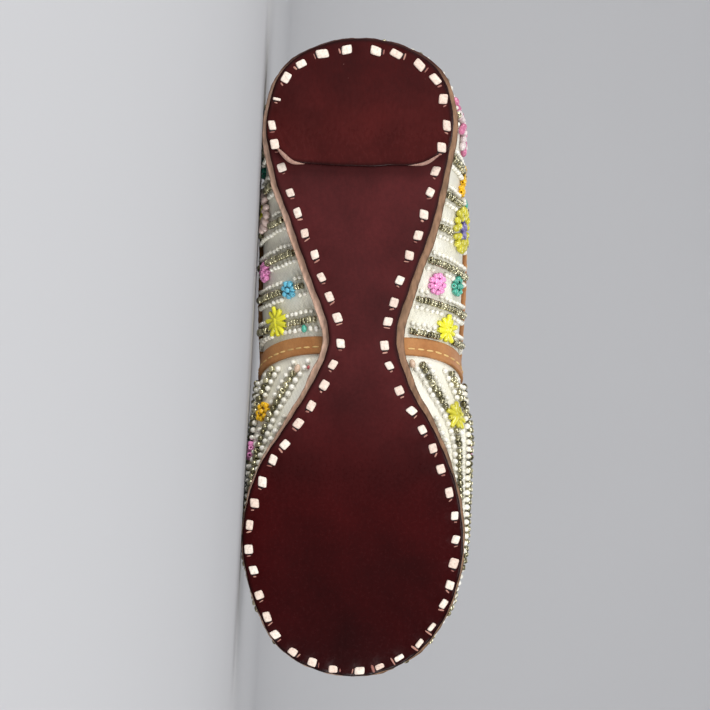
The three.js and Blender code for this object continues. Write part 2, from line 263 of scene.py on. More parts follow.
# %% The wall as a function
LEAN_ALONG = 0.34  # how much of the wall's bulge goes towards heel and toe


def welt_edge(angle):
    return welt_margin(folded(angle)[0])


def wall_point(angle, height):
    """A point on the outside of the wall. Height 0 is its foot on the welt, and 1 the topline."""
    angle, height = np.broadcast_arrays(np.asarray(angle, float), np.asarray(height, float))
    half, side = folded(angle)
    at = {name: curve(half) for name, curve in wall_column.items()}
    plan = edge_point(angle, welt_edge(angle) - UPPER_INSET)
    foot = np.stack([plan[..., 0], plan[..., 1], upper_bottom(plan[..., 0])], -1)
    top_side = np.where(side > 0, at["topOuter"], at["topInner"])
    top = np.stack([at["topX"], side * top_side, at["topZ"]], -1)
    lean = unit(np.stack([-np.cos(half) * LEAN_ALONG, side * np.sin(half), 0 * half], -1))
    low = foot + lean * at["footOut"][..., None]
    low[..., 2] += at["footUp"]
    high = top + np.stack([at["topAhead"], side * at["topSide"], -at["topDrop"]], -1)
    t = height[..., None]
    return (1 - t) ** 3 * foot + 3 * (1 - t) ** 2 * t * low + 3 * (1 - t) * t**2 * high + t**3 * top


def wall_directions(angle, height):
    """Unit directions on the wall: on round the shoe, up the wall, and square out of it."""
    step = 0.01
    along = wall_point(angle + step, height) - wall_point(angle - step, height)
    above, below = np.minimum(height + step, 1), np.maximum(height - step, 0)
    up = wall_point(angle, above) - wall_point(angle, below)
    return unit(along), unit(up), unit(np.cross(up, along))


def off_wall(angle, height, distance):
    """A point at a distance outside the wall, or inside it if that is negative."""
    out = wall_directions(angle, height)[2]
    return wall_point(angle, height) + out * np.broadcast_to(distance, out.shape[:-1])[..., None]


print("the wall is", round(float(wall_point(0.0, 1.0)[2]), 1), "mm high at the heel")

# %% [markdown]
# ## Meshes from arrays
# Stitches and beads come in hundreds. We work out all their corners as arrays and hand Blender one
# joined mesh for each kind, which takes a moment where copying objects would take minutes. A piece
# also carries a few named measures for each corner, such as its distance from the heel, so that its
# material can change along the shoe.

# %% A piece from points and faces


def make_piece(name, points, faces, material, replaces=(), measures=None):
    """A mesh in the room's metres that rides on the shoe, with measures that its material reads."""
    mesh = bpy.data.meshes.new(name)
    mesh.from_pydata(points.tolist(), [], [list(map(int, face)) for face in faces])
    mesh.update()
    corners = points[[face[0] for face in faces]]
    normals = np.empty(len(mesh.polygons) * 3)
    mesh.polygons.foreach_get("normal", normals)
    areas = np.empty(len(mesh.polygons))
    mesh.polygons.foreach_get("area", areas)
    volume = ((corners - points.mean(0)) * normals.reshape(-1, 3)).sum(1) @ areas
    if volume < 0:
        mesh.flip_normals()
    mesh.polygons.foreach_set("use_smooth", np.full(len(mesh.polygons), True))
    for measure, values in (measures or {}).items():
        values = np.asarray(values, np.float32)
        kind = "FLOAT" if values.ndim == 1 else "FLOAT_VECTOR"
        attribute = mesh.attributes.new(measure, kind, "POINT")
        attribute.data.foreach_set("value" if kind == "FLOAT" else "vector", values.ravel())
    mesh.materials.append(material)
    piece = bpy.data.objects.new(name, mesh)
    bpy.context.scene.collection.objects.link(piece)
    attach(piece, "root")
    if replaces:
        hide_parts(*replaces)
    triangles = sum(len(polygon.vertices) - 2 for polygon in mesh.polygons)
    print(f"{name}: {len(points)} points, {triangles} triangles")


def grid_faces(columns, rows, closed_columns=False, closed_rows=False):
    """Faces between neighbours of a grid of points that is stored column by column."""
    i, j = np.meshgrid(
        np.arange(columns if closed_columns else columns - 1),
        np.arange(rows if closed_rows else rows - 1),
        indexing="ij",
    )
    i_next, j_next = (i + 1) % columns, (j + 1) % rows
    corners = [i * rows + j, i_next * rows + j, i_next * rows + j_next, i * rows + j_next]
    return np.stack(corners, -1).reshape(-1, 4)


def joined(shape, centres, frames, sizes):
    """Points and faces of many copies of a shape. A frame's columns are its copy's own directions."""
    points, faces = shape
    sizes = np.broadcast_to(sizes, (len(centres), 3))
    local = points[None] * sizes[:, None] * MM
    spread = np.einsum("nij,nkj->nki", frames, local) + centres[:, None]
    many = [face + len(points) * n for n in range(len(centres)) for face in faces]
    return spread.reshape(-1, 3), many


print("a grid of 3 by 3 points has", len(grid_faces(3, 3)), "faces")

# %% Unevenness
RIPPLE_WAVES = 7


def ripple(points, size, seed):
    """A smooth random number, mostly from -1 to 1, whose humps are about this size."""
    own_chance = np.random.default_rng(seed)
    points = np.asarray(points, float)
    total = 0
    for _ in range(RIPPLE_WAVES):
        direction = own_chance.normal(size=points.shape[-1])
        direction *= 2 * np.pi / (size * own_chance.uniform(1.2, 2.6) * np.linalg.norm(direction))
        total = total + np.sin(points @ direction + own_chance.uniform(0, 2 * np.pi))
    return total / 3.2


trial = ripple(np.arange(0, 100, 0.5)[:, None], 9, 3)
print("a ripple runs from", round(float(trial.min()), 2), "to", round(float(trial.max()), 2))

# %% [markdown]
# ## Setting up finishes
# A finish is a small net of nodes. One helper adds a node with its settings and links, and one turns
# a colour as people write it into the linear numbers that light works with. A pattern's scale always
# comes from the size of the real feature, so that grain and weave keep their size on every piece.

# %% Helpers for materials


def linear(colour):
    """An sRGB colour, written as six hex digits, as the linear numbers that nodes take."""
    channels = np.array([int(colour[i : i + 2], 16) for i in (0, 2, 4)]) / 255
    light = np.where(channels <= 0.04045, channels / 12.92, ((channels + 0.055) / 1.055) ** 2.4)
    return (*light.tolist(), 1.0)


def add_node(tree, kind, inputs=(), output=0, **settings):
    """A node with its settings and links: its output, or the node itself if the output is None.

    Inputs are in order, or by socket in a dictionary. Each is a value, or an output to link.
    """
    node = tree.nodes.new("ShaderNode" + kind)
    for setting, value in settings.items():
        setattr(node, setting, value)
    for socket, value in inputs.items() if isinstance(inputs, dict) else enumerate(inputs):
        if isinstance(value, bpy.types.NodeSocket):
            tree.links.new(value, node.inputs[socket])
        else:
            node.inputs[socket].default_value = value
    return node if output is None else node.outputs[output]


def start_material(name, **sockets):
    """A new material, its node tree and its shader, with the shader's own sockets set."""
    material = bpy.data.materials.new(name)
    material.use_nodes = True
    tree = material.node_tree
    shader = tree.nodes["Principled BSDF"]
    for socket, value in sockets.items():
        shader.inputs[socket.replace("_", " ")].default_value = value
    return material, tree, shader


def humps_per_metre(size):
    """The scale of a noise or cell pattern whose features are this many millimetres wide."""
    return 1 / (size * MM)


FACTOR, FIRST, SECOND, MIXED = 0, 6, 7, 2  # sockets of a node that mixes two colours


def make_mottled(name, colours, size, **sockets):
    """A finish in patches of two colours, this many millimetres wide."""
    material, tree, shader = start_material(name, **sockets)
    where = add_node(tree, "TexCoord", output="Object")
    patches = add_node(
        tree, "TexNoise", {"Vector": where, "Scale": humps_per_metre(size), "Detail": 2.0}
    )
    tint = add_node(
        tree, "Mix", {FACTOR: patches, FIRST: linear(colours[0]), SECOND: linear(colours[1])}, MIXED,
        data_type="RGBA",
    )
    tree.links.new(tint, shader.inputs["Base Color"])
    return material


print("oxblood in linear numbers:", np.round(linear("41121a"), 4))

# %% [markdown]
# ## The sole leather
# The outsole is vegetable-tanned leather, dyed oxblood and burnished. Under the ball it was polished
# hard and looks dark and glossy, and along the waist it is duller, a little purple, with the fibres
# showing. The lift under the heel is a second piece of the same hide, redder and drier. Two colours
# mixed by the distance from the heel give that change; a single dye colour would look like plastic.

# %% Sole and lift finishes
BALL_START = 165.0  # from here on the sole's colour darkens towards the toe


def make_sole_leather(name, dull, polished, at_toe, polish_start, polish_end, grain_stretch):
    """Dyed sole leather, dull near the heel and polished beyond the waist, with dust in its pores."""
    material, tree, shader = start_material(name, IOR=1.5, Coat_Weight=0.0, Specular_IOR_Level=0.1)
    place_in_shoe = add_node(tree, "Attribute", output="Vector", attribute_name="in_shoe")
    split = add_node(tree, "SeparateXYZ", (place_in_shoe,), output=None)
    polish = add_node(
        tree, "MapRange", (split.outputs["X"], polish_start, polish_end),
        interpolation_type="SMOOTHSTEP",
    )
    toward_toe = add_node(tree, "MapRange", (split.outputs["X"], BALL_START, SOLE_LENGTH))
    stretched = add_node(tree, "Mapping", {"Vector": place_in_shoe, "Scale": (grain_stretch, 1.0, 1.0)})
    clouds = add_node(tree, "TexNoise", {"Vector": place_in_shoe, "Scale": 1 / 22, "Detail": 4.0})
    grain = add_node(tree, "TexNoise", {"Vector": stretched, "Scale": 1 / 1.4, "Detail": 3.0})
    base = add_node(
        tree, "Mix", {FACTOR: polish, FIRST: linear(dull), SECOND: linear(polished)}, MIXED,
        data_type="RGBA",
    )
    base = add_node(
        tree, "Mix", {FACTOR: toward_toe, FIRST: base, SECOND: linear(at_toe)}, MIXED,
        data_type="RGBA",
    )
    cloudy = add_node(tree, "MapRange", (clouds, 0.3, 0.7, 0.72, 1.25))
    grainy = add_node(tree, "MapRange", (grain, 0.3, 0.7, 0.91, 1.09))
    shade = add_node(tree, "Math", (cloudy, grainy), operation="MULTIPLY")
    # Painted shade: the colour darkens towards the rounded cut edge, as shade would fall there.
    from_edge = add_node(tree, "Attribute", output="Fac", attribute_name="from_edge")
    painted_sole_edge_shade = add_node(tree, "MapRange", (from_edge, 0.3, 1.7, 0.35))
    shade = add_node(tree, "Math", (shade, painted_sole_edge_shade), operation="MULTIPLY")
    tinted = add_node(tree, "VectorMath", {0: base, "Scale": shade}, operation="SCALE")
    # Pale dust in the pores and small nicks: cells of which only the very middle shows.
    cells = add_node(
        tree, "TexVoronoi", {"Vector": place_in_shoe, "Scale": 1 / 5.5}, output=None
    )
    speck_size = add_node(tree, "SeparateXYZ", (cells.outputs["Color"],), "X")
    reach = add_node(tree, "MapRange", (speck_size, 0.72, 1.0, 0.0, 0.045))
    speck = add_node(tree, "Math", (cells.outputs["Distance"], reach), operation="LESS_THAN")
    speck = add_node(tree, "Math", (speck, 0.35), operation="MULTIPLY")
    dusty = add_node(
        tree, "Mix", {FACTOR: speck, FIRST: tinted, SECOND: linear("b07f78")}, MIXED, data_type="RGBA"
    )
    tree.links.new(dusty, shader.inputs["Base Color"])
    rough = add_node(tree, "MapRange", (polish, 0.0, 1.0, 0.56, 0.24))
    uneven = add_node(tree, "Math", (grain, 0.25, rough), operation="MULTIPLY_ADD")
    rough = add_node(tree, "Math", (uneven, 0.12), operation="SUBTRACT")
    tree.links.new(rough, shader.inputs["Roughness"])
    bump = add_node(tree, "Bump", {"Height": grain, "Strength": 0.22, "Distance": 0.25 * MM})
    tree.links.new(bump, shader.inputs["Normal"])
    return material


sole_leather = make_sole_leather(
    "oxblood sole leather, burnished", "461819", "340506", "250203", 105.0, 190.0, 1.0
)
lift_leather = make_sole_leather(
    "oxblood lift leather, worn dry", "360707", "421413", "421413", 6.0, 46.0, 0.6
)
print("finishes:", sole_leather.name, "and", lift_leather.name)

# %% [markdown]
# ## Where the thong goes through
# The sole is sewn on with a strip of raw hide that shows on the tread as a row of cream squares,
# about nine millimetres apart and a few millimetres in from the edge. It was sewn by eye, so the
# steps differ. We walk along the stitch line with steps that change a little, and keep the places:
# the outsole is dented round each of them, and the stitches are put there afterwards.

# %% Walk round the stitch line
STITCH_INSETS = table(
    "x inset",
    (0, 4.5), (12, 3.4), (30, 2.9), (60, 4.0), (100, 4.5), (140, 4.3), (175, 3.2), (250, 2.4),
)
STITCH_STEP = 9.05
FIRST_STITCH = 5.8  # from the middle of the heel's back edge
FINE_STEPS = 4001  # points of a line that is measured along

inset_by_angle = columns_by_angle(STITCH_INSETS, "x")["inset"]


def stitch_line(angle, aside=0.0):
    """A point of the plan on the line of stitches, or a little outside it."""
    return edge_point(angle, -inset_by_angle(folded(angle)[0]) + aside)


chance = np.random.default_rng(11)
walk_angles = np.linspace(0, 2 * np.pi, FINE_STEPS)
walked = reach_along(stitch_line(walk_angles))
stitch_count = round((walked[-1] - 2 * FIRST_STITCH) / STITCH_STEP) + 1
even_steps = np.linspace(FIRST_STITCH, walked[-1] - FIRST_STITCH, stitch_count)
stitch_walk = even_steps + chance.uniform(-0.9, 0.9, stitch_count)
stitch_angles = np.interp(stitch_walk, walked, walk_angles)
stitch_plan = stitch_line(stitch_angles, chance.normal(0, 0.22, stitch_count))
print(stitch_count, "stitches along", round(walked[-1]), "mm")

# %% [markdown]
# ## Flat pieces with soft edges
# Outsole, lift, welt and insole are flat pieces cut from hide. Each is a stack of rings: out along
# its underside, round the lower edge, up the side, over the upper edge and in along the top, with
# both middles filled in. Beveling a plain extrusion is quicker, but rings let us dent the leather
# round each stitch and let the cut edge waver as a knife does.

# %% Rings round a flat piece
HALF_STEPS = 300  # rings have this many points a side, about 1 mm apart

fine = np.linspace(0, np.pi, FINE_STEPS)
fine_x = sole_point(fine)[:, 0]
fine_length = reach_along(sole_point(fine))
half_angles = np.interp(np.linspace(0, fine_length[-1], HALF_STEPS + 1), fine_length, fine)
half_angles[-1] = np.pi
ring_angles = np.concatenate([half_angles, 2 * np.pi - half_angles[-2:0:-1]])


def slab(outline, levels, across=14):
    """Points and faces of a flat piece, whose ring at each level is outline(inset) at a height.

    A ring starts at the middle of one end and runs round, so that its points pair up across the piece.
    """
    rings = []
    for inset, height in levels:
        plan = outline(inset)
        rings.append(np.column_stack([plan, height(plan)]))
    size = len(rings[0])
    points = list(rings)
    stored = size * len(rings)
    index = np.arange(stored).reshape(len(rings), size)
    faces = []
    for lower, upper in zip(index[:-1], index[1:]):
        faces += list(np.stack([lower, np.roll(lower, -1), np.roll(upper, -1), upper], -1))
    for ring, (inset, height) in ((0, levels[0]), (len(rings) - 1, levels[-1])):
        stations = size // 2
        near, far = np.arange(stations + 1), (size - np.arange(stations + 1)) % size
        rows = np.empty((stations + 1, across + 1), int)
        rows[:, 0], rows[:, -1] = index[ring][near], index[ring][far]
        rows[0], rows[-1] = index[ring][0], index[ring][stations]
        share = np.linspace(0, 1, across + 1)[1:-1]
        plan = rings[ring][:, :2]
        inside = plan[near[1:-1], None] * (1 - share[:, None]) + plan[far[1:-1], None] * share[:, None]
        inside = inside.reshape(-1, 2)
        rows[1:-1, 1:-1] = stored + np.arange(len(inside)).reshape(stations - 1, across - 1)
        points.append(np.column_stack([inside, height(inside)]))
        stored += len(inside)
        quads = np.stack([rows[:-1, :-1], rows[:-1, 1:], rows[1:, 1:], rows[1:, :-1]], -1).reshape(-1, 4)
        if ring:
            quads = quads[:, ::-1]
        for quad in quads:
            corners = list(dict.fromkeys(quad.tolist()))
            if len(corners) > 2:
                faces.append(np.array(corners))
    return np.concatenate(points), faces


def soft_edge(bottom, top, radius, depth, sides=((0.33, 0.0), (0.67, 0.0))):
    """Levels for slab: both faces from a depth inside the edge, and both arrises rounded."""
    turn = np.linspace(0, np.pi / 2, 5)
    arc = [(radius * (1 - math.cos(t)), radius * (1 - math.sin(t))) for t in turn]
    flat = [(depth * share + radius * (1 - share), 0.0) for share in (0.15, 0.3, 0.5, 0.75, 1.0)]
    low = [(inset, lambda plan, rise=rise: bottom(plan) + rise) for inset, rise in (arc + flat)[::-1]]
    high = [(inset, lambda plan, rise=rise: top(plan) - rise) for inset, rise in arc + flat]
    middle = [
        (inset, lambda plan, share=share: bottom(plan) * (1 - share) + top(plan) * share)
        for share, inset in sides
    ]
    return low + middle + high


def flat_piece(name, outline, levels, material, replaces):
    """A slab as a piece, which also knows how far each of its points is from the cut edge."""
    points, faces = slab(outline, levels)
    insets = np.repeat([inset for inset, _ in levels], len(outline(0.0)))
    from_edge = np.append(insets, np.full(len(points) - len(insets), insets[0]))
    measures = {"in_shoe": points, "from_edge": from_edge}
    make_piece(name, place(points), faces, material, replaces, measures)


# %% The outsole
EDGE_RADIUS = 0.9
DENT_DEPTH = 0.4
DENT_REACH = 1.9


def dents(plan):
    """How far the leather is drawn in round the stitches."""
    far = np.linalg.norm(plan[:, None] - stitch_plan[None], axis=-1)
    return DENT_DEPTH * np.exp(-0.5 * (far / DENT_REACH) ** 2).max(1)


def outsole_outline(inset):
    """The outline, wavering as a knife does, and drawn in a little beside each stitch."""
    fade = math.exp(-inset / 2.5)
    plan = edge_point(ring_angles, np.full(len(ring_angles), -inset))
    waver = 0.16 * ripple(plan, 9, 3) - 0.5 * dents(stitch_line(ring_angles))
    return edge_point(ring_angles, -inset + fade * waver)


def outsole_bottom(plan):
    return tread_height(plan[:, 0]) + dents(plan) + 0.12 * ripple(plan, 16, 5)


def outsole_top(plan):
    return tread_height(plan[:, 0]) + OUTSOLE_THICKNESS


flat_piece(
    "outsole_leather", outsole_outline, soft_edge(outsole_bottom, outsole_top, EDGE_RADIUS, 7.5),
    sole_leather, ["outsole"],
)

# %% [markdown]
# ## The lift under the heel
# The lift is a thinner cut of the same hide. Its front edge runs straight across with a slight bow,
# and the knife rounded both front corners back towards the heel. Those corners have dried out and
# curled away from the sole, and show a pale sliver of the leather's flesh side. We bend the corners
# in the lift's own outline, and lay the pale sliver along each as a small tapered roll.

# %% The lift's edge
LIFT_INSET = 0.4
LIFT_BOW = 2.2
CORNER_REACH = 11.0  # how far along the front edge a corner is rounded
CORNER_SETBACK = {1.0: 6.2, -1.0: 3.8}

lift_half = np.linspace(0, angle_at(LIFT_LENGTH), 161)
lift_sides = {
    side: edge_point(side * lift_half, np.full(len(lift_half), -LIFT_INSET)) for side in (1.0, -1.0)
}


def lift_front_x(y):
    """How far the lift reaches at a distance to the outer side."""
    outer = y > 0
    half_width = np.where(outer, lift_sides[1.0][-1][1], -lift_sides[-1.0][-1][1])
    setback = np.where(outer, CORNER_SETBACK[1.0], CORNER_SETBACK[-1.0])
    back = setback * smoothstep(abs(y), half_width - CORNER_REACH, half_width) ** 1.4
    return LIFT_LENGTH + LIFT_BOW * (1 - (y / half_width) ** 2) - back


def lift_front(side):
    """Half of the lift's front edge, from its corner to the middle."""
    across = np.linspace(lift_sides[side][-1][1], 0, 81)
    return np.column_stack([lift_front_x(across) + 0.25 * ripple(across[:, None], 9, 8), across])


def lift_half_outline(side):
    """One side of the lift, from the back of the heel to the middle of its front edge."""
    front = lift_front(side)
    edge = lift_sides[side]
    edge = edge[edge[:, 0] < front[0, 0] - 0.8]
    return np.concatenate([edge, front[1:]])


def evenly(points, count):
    """The same line with this many points, evenly spaced."""
    length = reach_along(points)
    at = np.linspace(0, length[-1], count)
    return np.column_stack([np.interp(at, length, column) for column in points.T])


half_rings = [evenly(lift_half_outline(side), 151) for side in (1.0, -1.0)]
lift_ring = np.concatenate([half_rings[0], half_rings[1][-2:0:-1]])
print("the lift's ring has", len(lift_ring), "points")

# %% The lift
CURL = 0.9  # how far its corners have come away from the outsole


def lift_outline(inset):
    """The lift's outline, with its corners rounded by averaging neighbours."""
    soft = sum(np.roll(lift_ring, shift, 0) for shift in (2, 1, 0, -1, -2)) / 5
    along = np.roll(soft, -2, 0) - np.roll(soft, 2, 0)
    out = unit(np.column_stack([-along[:, 1], along[:, 0]]))
    return soft + out * (0.12 * ripple(soft, 7, 9) * math.exp(-inset / 2) - inset)[:, None]


def corner_curl(plan):
    """How far the lift's front corners have curled away from the outsole."""
    side = np.where(plan[:, 1] > 0, 1.0, -1.0)
    corner_y = np.where(side > 0, lift_sides[1.0][-1][1], lift_sides[-1.0][-1][1])
    corner_x = LIFT_LENGTH - np.where(side > 0, CORNER_SETBACK[1.0], CORNER_SETBACK[-1.0]) * 0.6
    far = np.hypot((plan[:, 0] - corner_x) / 7, (plan[:, 1] - corner_y * 0.86) / 9)
    return CURL * np.exp(-(far**2))


def lift_bottom(plan):
    """The underside of the lift, whose front edge was pared a little thinner."""
    pared = 0.2 * np.exp(-((plan[:, 0] - LIFT_LENGTH - 1) / 1.5) ** 2)
    return dents(plan) + 0.1 * ripple(plan, 14, 6) - corner_curl(plan) + pared


def lift_top(plan):
    return np.full(len(plan), LIFT_THICKNESS + GAP) - corner_curl(plan)


flat_piece(
    "heel_lift_leather", lift_outline, soft_edge(lift_bottom, lift_top, 0.7, 1.8),
    lift_leather, ["heel_lift"],
)

# %% [markdown]
# ## The curled corners
# Where a corner has curled, we see the cut edge and a little of the pale flesh side under it. A thin
# roll that swells in the middle and fades to nothing at both ends is enough at this size.

# %% Pale slivers along the lift's corners
CURL_LENGTH = {1.0: 11.0, -1.0: 12.5}
CURL_WIDTH = {1.0: 2.5, -1.0: 1.8}
CURL_START = 2.4  # from the corner
CURL_POINTS = 31

raw_leather, tree, shader = start_material("raw flesh side of the sole leather", Roughness=0.85)
where = add_node(tree, "Attribute", output="Vector", attribute_name="in_shoe")
fibres = add_node(tree, "TexNoise", {"Vector": where, "Scale": 1 / 1.1, "Detail": 4.0})
colour = add_node(
    tree, "Mix", {FACTOR: fibres, FIRST: linear("6f4038"), SECOND: linear("c3a190")}, MIXED,
    data_type="RGBA",
)
tree.links.new(colour, shader.inputs["Base Color"])


def tube_points(line, radii, sides=10):
    """Rings of points round a line, whose radius may change along it."""
    along = unit(np.gradient(line, axis=0))
    side = unit(np.cross(along, (0.0, 0.0, 1.0)))
    other = np.cross(along, side)
    turn = np.arange(sides) * 2 * np.pi / sides
    around = side[:, None] * np.cos(turn)[:, None] + other[:, None] * np.sin(turn)[:, None]
    return line[:, None] + around * np.asarray(radii)[:, None, None]


def tube_faces(stations, sides, closed=False):
    """Faces of a tube of that many rings, which closes on itself or else has both ends filled."""
    faces = list(grid_faces(stations, sides, closed, True))
    if not closed:
        faces += [np.arange(sides)[::-1], np.arange(sides) + (stations - 1) * sides]
    return faces


for side, name in ((1.0, "outer"), (-1.0, "inner")):
    start = abs(lift_sides[side][-1][1]) - CURL_START
    across = np.linspace(start, start - CURL_LENGTH[side], CURL_POINTS) * side
    swell = np.sin(np.linspace(0.06, np.pi - 0.03, CURL_POINTS)) ** 0.8
    swell *= np.linspace(1.0, 0.35, CURL_POINTS)
    plan = np.column_stack([lift_front_x(across) + 0.15, across])
    line = np.column_stack([plan, lift_bottom(plan) + 0.55 - 0.3 * swell])
    rings = tube_points(line, 0.05 + 0.5 * CURL_WIDTH[side] * swell)
    make_piece(
        f"lift_curl_{name}", place(rings.reshape(-1, 3)), tube_faces(CURL_POINTS, 10), raw_leather,
        measures={"in_shoe": rings.reshape(-1, 3)},
    )

# %% [markdown]
# ## The welt
# Between sole and upper runs a band of undyed leather, glued from two thin layers and trimmed with a
# knife, so its cut edge is fibrous, with a groove between the layers. It shows as a pinkish beige
# line all round, widest at the waist. The same rings make it, with the groove drawn in at mid height.

# %% Welt finish
welt_leather, tree, shader = start_material(
    "undyed welt leather, cut edge", Roughness=0.82, Specular_IOR_Level=0.3
)
where = add_node(tree, "Attribute", output="Vector", attribute_name="in_shoe")
split = add_node(tree, "SeparateXYZ", (where,), output=None)
flattened = add_node(tree, "Mapping", {"Vector": where, "Scale": (0.35, 1.0, 2.2)})
fibres = add_node(tree, "TexNoise", {"Vector": flattened, "Scale": 1 / 1.3, "Detail": 5.0})
stains = add_node(tree, "TexNoise", {"Vector": where, "Scale": 1 / 14, "Detail": 2.0})
# Painted light and shade: the outer side is painted paler, as if lit, and the inner side darker, as if in
# shade.
shaded_inner_side = add_node(tree, "MapRange", (split.outputs["Y"], 8.0, -8.0))
pale = add_node(
    tree, "Mix", {FACTOR: shaded_inner_side, FIRST: linear("d8b39d"), SECOND: linear("8a6c54")}, MIXED,
    data_type="RGBA",
)
worn = add_node(tree, "MapRange", (stains, 0.35, 0.7, 0.0, 0.55))
pale = add_node(
    tree, "Mix", {FACTOR: worn, FIRST: pale, SECOND: linear("a98064")}, MIXED, data_type="RGBA"
)
dark_fibres = add_node(tree, "MapRange", (fibres, 0.35, 0.65, 0.72, 1.12))
# Painted shade along the welt's outer cut edge, broken up by the fibres.
from_edge = add_node(tree, "Attribute", output="Fac", attribute_name="from_edge")
welt_edge_shade_mask = add_node(tree, "Math", (fibres, 0.9, from_edge), operation="MULTIPLY_ADD")
painted_welt_edge_shade = add_node(tree, "MapRange", (welt_edge_shade_mask, 0.5, 0.95, 0.5))
shade = add_node(tree, "Math", (dark_fibres, painted_welt_edge_shade), operation="MULTIPLY")
tinted = add_node(tree, "VectorMath", {0: pale, "Scale": shade}, operation="SCALE")
# Round the back of the heel the welt is darker, close to the sole's colour.
darker_round_heel = add_node(tree, "MapRange", (split.outputs["X"], 20.0, 9.0, 0.0, 0.9))
tinted = add_node(
    tree, "Mix", {FACTOR: darker_round_heel, FIRST: tinted, SECOND: linear("3a1614")}, MIXED, data_type="RGBA"
)
tree.links.new(tinted, shader.inputs["Base Color"])
bump = add_node(tree, "Bump", {"Height": fibres, "Strength": 0.6, "Distance": 0.3 * MM})
tree.links.new(bump, shader.inputs["Normal"])
print("welt finish ready")

# %% The welt
WELT_OVERHANG = 0.28  # it takes up the gap to its neighbours above and below


def welt_outline(inset):
    """The welt's outline, with the small steps that the trimming knife left."""
    plan = edge_point(ring_angles, welt_edge(ring_angles))
    waver = 0.2 * ripple(plan, 7, 21) + 0.1 * ripple(plan, 2.4, 22)
    return edge_point(ring_angles, welt_edge(ring_angles) + waver * math.exp(-inset / 3) - inset)


flat_piece(
    "welt_leather", welt_outline,
    soft_edge(
        lambda plan: welt_bottom(plan[:, 0]) - WELT_OVERHANG,
        lambda plan: upper_bottom(plan[:, 0]) - GAP + WELT_OVERHANG,
        0.3, 7.5, ((0.4, 0.0), (0.47, 0.3), (0.53, 0.3), (0.6, 0.0)),
    ),
    welt_leather, ["welt"],
)

# %% [markdown]
# ## The raw hide thong
# Each stitch is a flat strip pulled over the edge of its two holes, so it stands up as a soft square
# cushion, a bit askew. Past its toe-ward end the awl left a slit, drawn as a dark sliver of painted
# shadow, with a torn, reddish lip. One cushion shape, squashed, turned and sized by chance for every
# stitch, keeps them from looking cast.

# %% Shapes for stitches and beads


def outward(points, face):
    """The face, turned over if it looks towards the middle of its shape."""
    first, second, third = points[face[:3]]
    return face if np.cross(second - first, third - first) @ points[face].mean(0) > 0 else face[::-1]


def ball(rings, around, flatness=(1.0, 1.0, 1.0)):
    """A ball of radius 1. A flatness under 1 squares it off along that direction."""
    turn = np.linspace(0, np.pi, rings + 1)[1:-1]
    spin = np.arange(around) * 2 * np.pi / around
    body = np.stack([
        np.outer(np.sin(turn), np.cos(spin)), np.outer(np.sin(turn), np.sin(spin)),
        np.outer(np.cos(turn), np.ones(around)),
    ], -1).reshape(-1, 3)
    points = np.concatenate([body, [[0, 0, 1], [0, 0, -1]]])
    points = np.sign(points) * abs(points) ** np.array(flatness)
    faces = [np.asarray(face) for face in grid_faces(rings - 1, around, False, True)]
    start, end = len(body), len(body) + 1
    for i in range(around):
        j = (i + 1) % around
        last = (rings - 2) * around
        faces += [np.array([start, j, i]), np.array([end, last + i, last + j])]
    return points, [outward(points, face) for face in faces]


def tilted(frames, amount):
    """Frames, each turned a little about a direction of its own."""
    spin = chance.normal(0, amount, (len(frames), 3))
    turns = np.array([Matrix.Rotation(np.linalg.norm(s), 3, Vector(s)) for s in spin])
    return turns @ frames


print("a ball of 8 rings has", len(ball(8, 12)[0]), "points")

# %% Finishes that differ from piece to piece


def make_two_tone(name, colours, grain=None, streaks=None, relief=None, **sockets):
    """A finish in which each piece has its own colour between two.

    Grain is the size and detail of its fibres, which give it streaks of shade and a relief.
    """
    material, tree, shader = start_material(name, **sockets)
    own = add_node(tree, "NewGeometry", output="Random Per Island")
    tint = add_node(
        tree, "Mix", {FACTOR: own, FIRST: linear(colours[0]), SECOND: linear(colours[1])}, MIXED,
        data_type="RGBA",
    )
    if grain:
        (size, detail), (strength, depth) = grain, relief
        where = add_node(tree, "TexCoord", output="Object")
        fibres = add_node(
            tree, "TexNoise", {"Vector": where, "Scale": humps_per_metre(size), "Detail": detail}
        )
        shade = add_node(tree, "MapRange", (fibres, *streaks))
        tint = add_node(tree, "VectorMath", {0: tint, "Scale": shade}, operation="SCALE")
        bump = add_node(tree, "Bump", {"Height": fibres, "Strength": strength, "Distance": depth * MM})
        tree.links.new(bump, shader.inputs["Normal"])
    tree.links.new(tint, shader.inputs["Base Color"])
    return material


thong = make_two_tone(
    "raw hide thong", ("f6eadc", "e6cdbd"), (0.9, 3.0), (0.3, 0.6, 0.74, 1.04), (0.4, 0.2),
    Roughness=0.62, IOR=1.5, Specular_IOR_Level=0.35,
)
painted_slit_shadow = start_material(
    "shadowed awl slit in dyed leather", Roughness=0.9, Base_Color=linear("1c0608")
)[0]
torn_dye = make_two_tone("torn lip of dyed leather", ("8a5148", "c08f7e"), Roughness=0.7)
print("finishes of the stitches:", ", ".join(m.name for m in (thong, painted_slit_shadow, torn_dye)))

# %% Thong stitches
# Half sizes, along the seam, across it and down.
STITCH_SIZE = (1.85, 1.62, 0.9)
THIN_STITCH = (0.55, 1.55, 0.8)
SLIT_SIZE = (0.5, 1.35, 0.2)
LIP_SIZE = (0.36, 1.25, 0.4)

tangent = unit(sole_point(stitch_angles + 0.01) - sole_point(stitch_angles - 0.01))
tangent *= np.sign(tangent[:, :1])  # towards the toe on both sides


def on_leather(plan):
    """Places on the leather that shows from below: the lift's at the heel, the outsole's beyond it."""
    on_lift = plan[:, 0] < lift_front_x(plan[:, 1]) + 1.2
    outsole_height = tread_height(plan[:, 0]) + dents(plan)
    return np.column_stack([plan, np.where(on_lift, dents(plan) - corner_curl(plan), outsole_height)])


